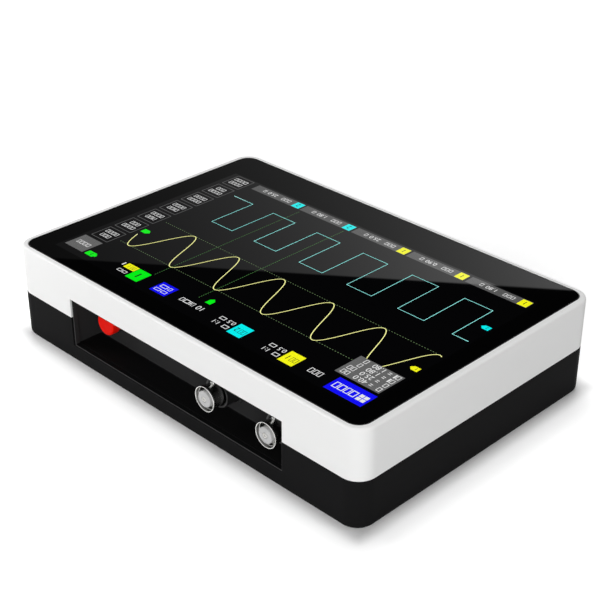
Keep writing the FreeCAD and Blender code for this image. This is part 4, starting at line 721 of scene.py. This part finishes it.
# %% Side buttons
BUTTON_TOP, BUTTON_HEIGHT, BUTTON_PITCH = 35.6, 9.5, 11.12
MARK_GAP = 0.35
BUTTON_MARKS = (((1.4, 1.4, 1.4), (1.4, 1.3, 1.4, 1.3)), ((1.4, 1.3, 1.4, 1.3), (1.4, 1.3, 1.3)),
                ((1.1, 0.3, 1.4, 1.3), (1.3, 1.4, 1.3, 1.3)),
                ((1.4, 0.3, 1.4, 1.3), (1.3, 1.4, 1.3, 1.3)),
                ((1.6, 1.3, 1.4, 1.3), (1.4, 1.3, 1.3, 1.3)),
                ((1.3, 1.4, 1.3, 1.4), (1.4, 1.0, 1.4)),
                ((1.3, 1.4, 1.3, 1.4), (1.8, 1.3, 1.4, 1.3)))


def modify(item, kind, **settings):
    """Give the active piece a modifier, with these settings, and apply it."""
    modifier = item.modifiers.new(kind, kind)
    for setting, value in settings.items():
        setattr(modifier, setting, value)
    bpy.ops.object.modifier_apply(modifier=kind)


def repeated(item, count, step_x=0.0, step_y=0.0):
    """The new tile `count` times, each a step further, in millimetres."""
    modify(item, "ARRAY", count=count, use_relative_offset=False, use_constant_offset=True,
           constant_offset_displace=(step_x * MM, step_y * MM, 0))
    return item


show("button_outlines", "line_grey", [repeated(
    tile(63.9, 73.6, BUTTON_TOP - BUTTON_HEIGHT, BUTTON_TOP, corner=0.4, border=0.3),
    len(BUTTON_MARKS), step_y=-BUTTON_PITCH)])
labels = []
for row, lines in enumerate(BUTTON_MARKS):
    top = BUTTON_TOP - BUTTON_PITCH * row
    for marks, y in zip(lines, (top - 4.2, top - 7.5)):
        width = sum(marks) + MARK_GAP * (len(marks) - 1)
        labels += bars(68.75 - width / 2, y, marks, 2.1, MARK_GAP)
show("button_marks", "white", labels)
print("side buttons:", len(BUTTON_MARKS))

# %% [markdown]
# ### Foot of the screen
# The measured values stand in a grey strip. Each has a small tile in its input's colour, with the
# input's number on it.

# %% Foot strip
STARTS = (-77.0, -49.2, -21.5, 6.3, 33.9)  # where each value's field starts
show("foot_strip", "line_grey", [tile(x, x + 26.75, -40.3, -35.55) for x in STARTS])
for name, colour, fields in (("foot_tiles_1", "yellow", STARTS[:3]),
                             ("foot_tiles_2", "cyan", STARTS[3:])):
    show(name, colour, [tile(x + 0.1, x + 4.1, -40.05, -35.75, level=1) for x in fields])
values = []
for x, text in zip(STARTS, ("1.80", "0.90", "25.0", "1.80", "25.0")):
    values += bars(x + 6.6, -38.95, (1.3, 1.3, 1.3), 2.0, 0.35, level=1)
    values.append(number(text, x + 14.0, -38.95, 2.1, level=1))
    values += bars(x + 20.3, -38.95, (1.3,), 1.9, level=1)
show("foot_values", "white", values)
show("foot_numbers", "dark", [number("1" if x < 0 else "2", x + 2.1, -39.15, 2.4, level=2,
                                     centred=True) for x in STARTS])
print("foot:", made["foot_values"], "faces of values")

# %% [markdown]
# ### Cursors and traces
# Cursors are dashed lines, one dash repeated.

# %% Cursors
DASH = 0.18  # width of a dash
show("cursors", "line_green", [
    repeated(tile(x - DASH / 2, x + DASH / 2, -34.0, -33.4), 72, step_y=1.02)
    for x in (7.7, 31.6)])
show("level_cursors", "line_olive", [
    repeated(tile(-76.0, -75.45, y - DASH / 2, y + DASH / 2), 115, step_x=1.2)
    for y in (31.1, 8.9)])
print("cursors:", made["cursors"], "and", made["level_cursors"], "faces")

# %% [markdown]
# The traces are wires bent to the wave and pressed flat on the glass: a bevelled curve gives an
# even width on every slope, which a row of tiles can't.

# %% Traces
TRACE_START, TRACE_STEP = -77.25, 0.5
FLATTENED = 1.6  # height of a flattened wire, in films


def trace(name, colour, points, width):
    """A wire through the points, flattened on the glass."""
    line = bpy.data.curves.new(name, "CURVE")
    line.dimensions, line.use_fill_caps = "3D", True
    line.bevel_depth, line.bevel_resolution = width / 2 * MM, 1
    spline = line.splines.new("POLY")
    spline.points.add(len(points) - 1)
    for (x, y), point in zip(points, spline.points):
        point.co = (x * MM, y * MM, 0, 1)
    alone(linked(name, line))
    bpy.ops.object.convert(target="MESH")
    flat = bpy.context.object
    flat.scale.z = FLATTENED * FILM / (width * MM)
    flat.location.z = GLASS_TOP + FLATTENED / 2 * FILM
    bpy.ops.object.transform_apply()
    show(name, colour, [seamless(flat)])


PERIOD, SWING, SINE_MIDDLE, CREST = 24.07, 11.2, 20.2, 8.05
trace("trace_1", "line_yellow",
      [(x, SINE_MIDDLE + SWING * math.cos((x - CREST) / PERIOD * math.tau))
       for x in (TRACE_START + TRACE_STEP * step for step in range(278))], 0.31)

HIGH, LOW = -4.2, -26.05
square = [(TRACE_START, HIGH)]
for count, x in enumerate((-70.35, -58.0, -46.2, -34.0, -22.2, -10.0, 1.75, 13.95, 25.7, 37.9,
                           49.5)):
    before, after = (HIGH, LOW) if count % 2 == 0 else (LOW, HIGH)
    square += [(x, before), (x, after)]
trace("trace_2", "line_cyan", square + [(60.4, LOW)], 0.26)
print("traces:", made["trace_1"], "and", made["trace_2"], "faces")

# %% [markdown]
# Small arrow tags at the edges mark each trace's zero, the trigger's level and its moment. A tag
# is a square tile with one side drawn out to a point. The side is found in code, by the way it
# faces: flags are set in object mode and hold when edit mode is entered.

# %% Tags
TIP, POINT_WIDTH = 0.45, 0.02  # length of the tip and width of its point, as shares
FACING = 0.9  # how nearly a face must look along a direction


def picked(item, kind, wanted):
    """Enter edit mode with only those corners (VERT) or faces (FACE) selected that pass a test."""
    bpy.ops.object.mode_set(mode="EDIT")
    bpy.ops.mesh.select_mode(type=kind)
    bpy.ops.mesh.select_all(action="DESELECT")
    bpy.ops.object.mode_set(mode="OBJECT")
    for element in item.data.vertices if kind == "VERT" else item.data.polygons:
        element.select = wanted(element)
    bpy.ops.object.mode_set(mode="EDIT")


def done():
    """Leave edit mode, back in the usual way of selecting corners."""
    bpy.ops.mesh.select_mode(type="VERT")
    bpy.ops.object.mode_set(mode="OBJECT")


def tag(x, y, size, towards, colour, name):
    """A small square whose side `towards` is drawn out to a point."""
    body = tile(x - size / 2, x + size / 2, y - size / 2, y + size / 2)
    outwards = Vector((*towards, 0))
    picked(body, "FACE", lambda face: face.normal.dot(outwards) > FACING)
    bpy.ops.mesh.extrude_region_move(
        TRANSFORM_OT_translate={"value": outwards * size * TIP * MM})
    bpy.ops.transform.resize(value=(1, POINT_WIDTH, 1) if towards[0] else (POINT_WIDTH, 1, 1),
                             center_override=Vector((x, y, 0)) * MM)
    done()
    show(name, colour, [body])


tag(-76.2, 20.9, 2.5, (1, 0), "yellow", "zero_tag_1")
tag(-76.2, -15.3, 2.5, (1, 0), "cyan", "zero_tag_2")
tag(61.0, 19.4, 2.7, (-1, 0), "green", "level_tag")
tag(2.4, 38.5, 2.5, (0, -1), "green", "moment_tag")
show("zero_numbers", "dark", [number("1", -76.3, 20.15, 1.5, level=1, centred=True),
                              number("2", -76.3, -16.05, 1.5, level=1, centred=True)])
print("picture:", made)

# %% [markdown]
# ## Turned pieces
# The button and the parts of the jacks are round, as if turned on a lathe. A short cylinder is the
# blank. Its front face is then drawn out or pushed in, step by step, and widened or narrowed at
# each step, so that a list of stations from back to front, and back inside, is the whole profile.

# %% Lathe
ROUND = math.radians(40)  # an edge that turns by less is shaded as round


def turned(name, centre_x, centre_z, stations, sides=56):
    """A round piece along Y from stations of (y, radius) in millimetres, on the axis given."""
    (back, radius), (front, second) = stations[:2]
    alone()
    bpy.ops.mesh.primitive_cylinder_add(
        vertices=sides, radius=radius * MM, depth=(front - back) * MM,
        rotation=(-math.pi / 2, 0, 0),
        location=Vector((centre_x, (front + back) / 2, centre_z)) * MM)
    item = fresh(name)
    bpy.ops.object.transform_apply()
    foremost = max(item.data.polygons, key=lambda face: face.center.y).index
    picked(item, "FACE", lambda face: face.index == foremost)
    place, size = front, radius
    for step, (y, next_radius) in enumerate([(front, second), *stations[2:]]):
        if step:
            bpy.ops.mesh.extrude_region_move(
                TRANSFORM_OT_translate={"value": (0, (y - place) * MM, 0)})
        share = next_radius / size
        bpy.ops.transform.resize(value=(share, 1, share),
                                 center_override=Vector((centre_x, y, centre_z)) * MM)
        place, size = y, next_radius
    bpy.ops.mesh.select_mode(type="VERT")
    closed()
    bpy.ops.object.shade_smooth_by_angle(angle=ROUND)
    return item


# %% [markdown]
# ### Power button
# The button is a red cap with a rounded front edge and a shallow dish for the fingertip. The cap
# is a little wider than the stem that runs through the wall of the bay, and behind the wall a
# flange keeps it in. It presses straight in, so it rides its own body.

# %% Button
FLANGE_WIDTH, FLANGE_DEPTH = 1.0, 1.0  # out past the stem, and along it, in millimetres
CAP_WIDER, CAP_LENGTH, CAP_EDGE = 0.5, 3.4, 0.7  # than the stem, its length, its rounding


def round_solid(node_name):
    """A round solid along Y, in millimetres: x and z of its axis, back, front and radius."""
    low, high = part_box(node_name)
    return ((low.x + high.x) / 2 / MM, (low.z + high.z) / 2 / MM, low.y / MM, high.y / MM,
            (high.x - low.x) / 2 / MM)


x, z, back, front, flange_radius = round_solid("power_button")
stem_radius = flange_radius - FLANGE_WIDTH
cap_radius = stem_radius + CAP_WIDER
profile = [(back, flange_radius), (back + FLANGE_DEPTH, flange_radius),
           (back + FLANGE_DEPTH, stem_radius), (front - CAP_LENGTH, stem_radius),
           (front - CAP_LENGTH, cap_radius)]
for angle in (math.radians(degrees) for degrees in (0, 22, 45, 68, 90)):
    profile.append((front - CAP_EDGE * (1 - math.sin(angle)),
                    cap_radius - CAP_EDGE * (1 - math.cos(angle))))
dish = [(front - 0.04, cap_radius - 1.0), (front - 0.28, cap_radius - 2.1), (front - 0.36, 0.6)]
dress(turned("button_cap", x, z, profile + dish), "button", "red_button", "power_button")
print("button:", made["button_cap"], "faces, cap", round(2 * cap_radius, 2), "mm across")

# %% [markdown]
# ### Coaxial jacks
# The open end of a bayonet jack is a thin-walled nickel tube with two studs that the plug's ring
# turns behind. Inside stands a pale insulator with the centre contact in it. The thin bright rim
# is what the eye finds first, so the wall narrows towards the mouth, and a shallow groove behind it
# makes room for the studs. A dark sleeve lines the inner end, where the plug presses on a gasket;
# it is drawn long and dark as painted shade, so that the inside of the tube reads dark. A stud is a
# small cylinder whose head is rounded by a Bevel modifier. The lower one is a copy.

# %% First jack
STUD_RADIUS, STUD_LENGTH, STUD_HEAD = 0.8, 2.2, 0.25
STUD_OUT, STUD_BACK = 4.4, 4.0  # from the jack's axis, and behind its rim


def copied(piece, name, shift):
    """A copy of a finished piece with its own mesh, moved by millimetres, set at the origin."""
    alone(piece)
    bpy.ops.object.duplicate()
    bpy.ops.transform.translate(value=Vector(shift) * MM)
    bpy.ops.object.transform_apply()
    return fresh(name)


x, z, back, front, radius = round_solid("jack_1_barrel")
tube = turned("jack_1_tube", x, z, [
    (back, radius - 0.5), (front - 1.4, radius - 0.5), (front - 1.1, radius), (front - 0.2, radius),
    (front, radius - 0.1), (front, radius - 0.28), (front - 0.2, radius - 0.38),
    (back + 1.5, radius - 0.6), (back + 1.5, 0.5)], sides=72)
alone()
bpy.ops.mesh.primitive_cylinder_add(vertices=20, radius=STUD_RADIUS * MM, depth=STUD_LENGTH * MM,
                                    location=Vector((x, front - STUD_BACK, z + STUD_OUT)) * MM)
stud = fresh("stud")
bpy.ops.object.transform_apply()
modify(stud, "BEVEL", width=STUD_HEAD * MM, segments=3)
bpy.ops.object.shade_smooth_by_angle(angle=ROUND)
alone(tube, stud, copied(stud, "lower_stud", (0, 0, -2 * STUD_OUT)))
bpy.ops.object.join()
core = turned("jack_1_core", x, z, [
    (back + 1.6, radius - 0.9), (back + 3.4, radius - 0.9), (back + 3.6, 3.0), (front + 0.05, 3.0),
    (front + 0.25, 2.8), (front + 0.3, 2.5), (front + 0.3, 1.15), (front, 1.1)])
# The sleeve is partly the gasket and partly painted shade inside the tube.
sleeve = turned("jack_1_sleeve", x, z, [
    (back + 3.7, radius - 0.64), (front - 3.4, radius - 0.6), (front - 3.6, radius - 0.8),
    (back + 6.4, radius - 0.9), (back + 6.4, 3.4), (back + 6.1, 3.2), (back + 3.7, 3.2)])
pin = turned("jack_1_pin", x, z, [
    (front - 6.0, 1.0), (front + 0.1, 1.0), (front + 0.3, 0.85), (front + 0.3, 0.5),
    (front + 0.1, 0.4), (front - 4.0, 0.4), (front - 4.0, 0.1)], sides=32)
print("jack:", round(2 * radius, 2), "mm across,", round(front - back, 2), "mm long")

# %% [markdown]
# The second jack is the first one, moved along the bay. Each copy has its own mesh.

# %% Second jack
jack_pitch = round_solid("jack_2_barrel")[0] - x
for piece, part, finish, solids in ((tube, "tube", "jack_nickel", ["barrel"]),
                                    (core, "core", "jack_core", ["insulator"]),
                                    (sleeve, "sleeve", "switch_case", []),
                                    (pin, "pin", "contact_brass", ["contact"])):
    second = copied(piece, f"jack_2_{part}", (jack_pitch, 0, 0))
    dress(piece, "casing", finish, *(f"jack_1_{solid}" for solid in solids))
    dress(second, "casing", finish, *(f"jack_2_{solid}" for solid in solids))
print("jacks:", round(abs(jack_pitch), 2), "mm apart, tube", made["jack_1_tube"], "faces")

# %% [markdown]
# ## Soft edges
# No moulded edge is quite sharp: each has a radius of a quarter of a millimetre or so, and that
# radius catches a line of light. The solids from the CAD model have sharp edges, so the mouldings
# that show are copied, their loose triangles are merged into faces, and a Bevel modifier rounds
# each edge that turns by more than its limit. A Weighted Normal modifier then lets the large flat
# faces keep a flat shade, and the narrow round ones take up the whole turn.

# %% Soft edges
SHARP = math.radians(35)  # an edge that turns by more is rounded
MERGE = 0.002  # millimetres between points that are one


def soften(node_name, body, finish, radius, reshape=None):
    """Put a copy with rounded edges in the place of a solid, reshaped first if asked."""
    copy = linked(f"{node_name}_soft", nodes[node_name].data.copy())
    alone(copy)
    bpy.ops.object.mode_set(mode="EDIT")
    bpy.ops.mesh.select_all(action="SELECT")
    bpy.ops.mesh.remove_doubles(threshold=MERGE * MM)
    bpy.ops.mesh.dissolve_limited(angle_limit=math.radians(1))
    bpy.ops.object.mode_set(mode="OBJECT")
    if reshape:
        reshape(copy)
    modify(copy, "BEVEL", angle_limit=SHARP, width=radius * MM, segments=2)
    bpy.ops.object.shade_smooth_by_angle(angle=SHARP)
    modify(copy, "WEIGHTED_NORMAL", keep_sharp=True)
    dress(copy, body, finish, node_name)


# %% [markdown]
# The lower shell all but touches the table: its feet stand out by a fifth of a millimetre. The
# underside and the round edge above it are drawn down together, by a scaling that leaves the top
# of the round edge where it is, so the edge becomes a taller and softer oval.

# %% Underside
UNDERSIDE, EDGE_TOP, DRAWN_TO = 1.0, 2.2, 0.2  # levels in millimetres
CORNER, EDGE_REACH = 7.1, 1.25  # radius of the corners, and the round edge's width
NEAR = 0.01  # how far off a level a point may lie
shell_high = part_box("lower_shell")[1]


def draw_down(shell):
    """Scale the underside and the round edge downwards, and leave seats and wells alone."""
    straight_x, straight_y = shell_high.x / MM - CORNER, shell_high.y / MM - CORNER

    def wanted(corner):
        x, y, z = (abs(value) / MM for value in corner.co)
        from_corner = math.hypot(max(x - straight_x, 0), max(y - straight_y, 0))
        at_edge = from_corner > CORNER - EDGE_REACH and z < EDGE_TOP + NEAR
        return z < UNDERSIDE + NEAR or at_edge

    picked(shell, "VERT", wanted)
    share = (EDGE_TOP - DRAWN_TO) / (EDGE_TOP - UNDERSIDE)
    bpy.ops.transform.resize(value=(1, 1, share), center_override=(0, 0, EDGE_TOP * MM))
    done()


# %% [markdown]
# Beside the button and along its lower edge the mouth is a little larger than the liner behind it,
# and a thin frame fills the step. The jamb, the upright end of the mouth, is moved in both shells,
# and the sill in the lower shell.

# %% Mouth
JAMB, SILL = 55.0, 7.5  # where they stand in the solids, in millimetres
JAMB_STEP, SILL_STEP = 0.75, -0.55  # how far they move outwards and down
MOUTH_BACK = 57  # the mouth's walls lie in front of this y


def move_wall(shell, axis, level, step):
    """Move the wall of the mouth that lies at a level on an axis, along that axis."""
    def wanted(corner):
        at = corner.co / MM
        return abs(at[axis] - level) < NEAR and at.y > MOUTH_BACK and abs(at.x) < JAMB + 1

    picked(shell, "VERT", wanted)
    bpy.ops.transform.translate(value=[step * MM if axis == along else 0 for along in range(3)])
    done()


def move_jamb(shell):
    move_wall(shell, 0, JAMB, JAMB_STEP)


def reshape_lower(shell):
    draw_down(shell)
    move_jamb(shell)
    move_wall(shell, 2, SILL, SILL_STEP)


soften("upper_shell", "casing", "white_casing", 0.25, move_jamb)
soften("lower_shell", "casing", "black_casing", 0.25, reshape_lower)
soften("connector_bay", "casing", "bay_liner", 0.2)
soften("stand", "stand", "black_casing", 0.25)
print("soft edges:", {name: faces for name, faces in made.items() if name.endswith("_soft")})

# %% [markdown]
# ### Lip of the bay
# The frame closes the joint between the shells and the liner all round the mouth. Its front stands
# a quarter of a millimetre behind the shells, and this narrow edge, painted a little paler than
# they are as a painted highlight, reads as a thin line. It is made as a cube whose front and back
# are deleted, and given its wall by a Solidify modifier.

# %% Bay lip
MOUTH_X, MOUTH_Z = (-JAMB, JAMB), (SILL + SILL_STEP, 26.5)
LIP_INSET, LIP_DEPTH = 0.25, 1.9  # behind the shells, and from front to back
LIP_PLAY, LIP_WALL, LIP_EDGE = 0.04, 0.5, 0.1  # play in the mouth, wall and edge radius

lip_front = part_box("upper_shell")[1].y / MM - LIP_INSET
alone()
bpy.ops.mesh.primitive_cube_add(size=1, location=Vector(
    (sum(MOUTH_X) / 2, lip_front - LIP_DEPTH / 2, sum(MOUTH_Z) / 2)) * MM)
lip = fresh("bay_lip")
lip.scale = Vector((MOUTH_X[1] - MOUTH_X[0] - LIP_PLAY, LIP_DEPTH,
                    MOUTH_Z[1] - MOUTH_Z[0] - LIP_PLAY)) * MM
bpy.ops.object.transform_apply()
picked(lip, "FACE", lambda face: abs(face.normal.y) > FACING)
bpy.ops.mesh.delete(type="FACE")
done()
modify(lip, "SOLIDIFY", thickness=LIP_WALL * MM, offset=-1)
modify(lip, "BEVEL", width=LIP_EDGE * MM, segments=2)
dress(lip, "casing", "bay_lip", slot="bay_liner")
print("lip:", [round(value / MM, 2) for value in lip.dimensions])
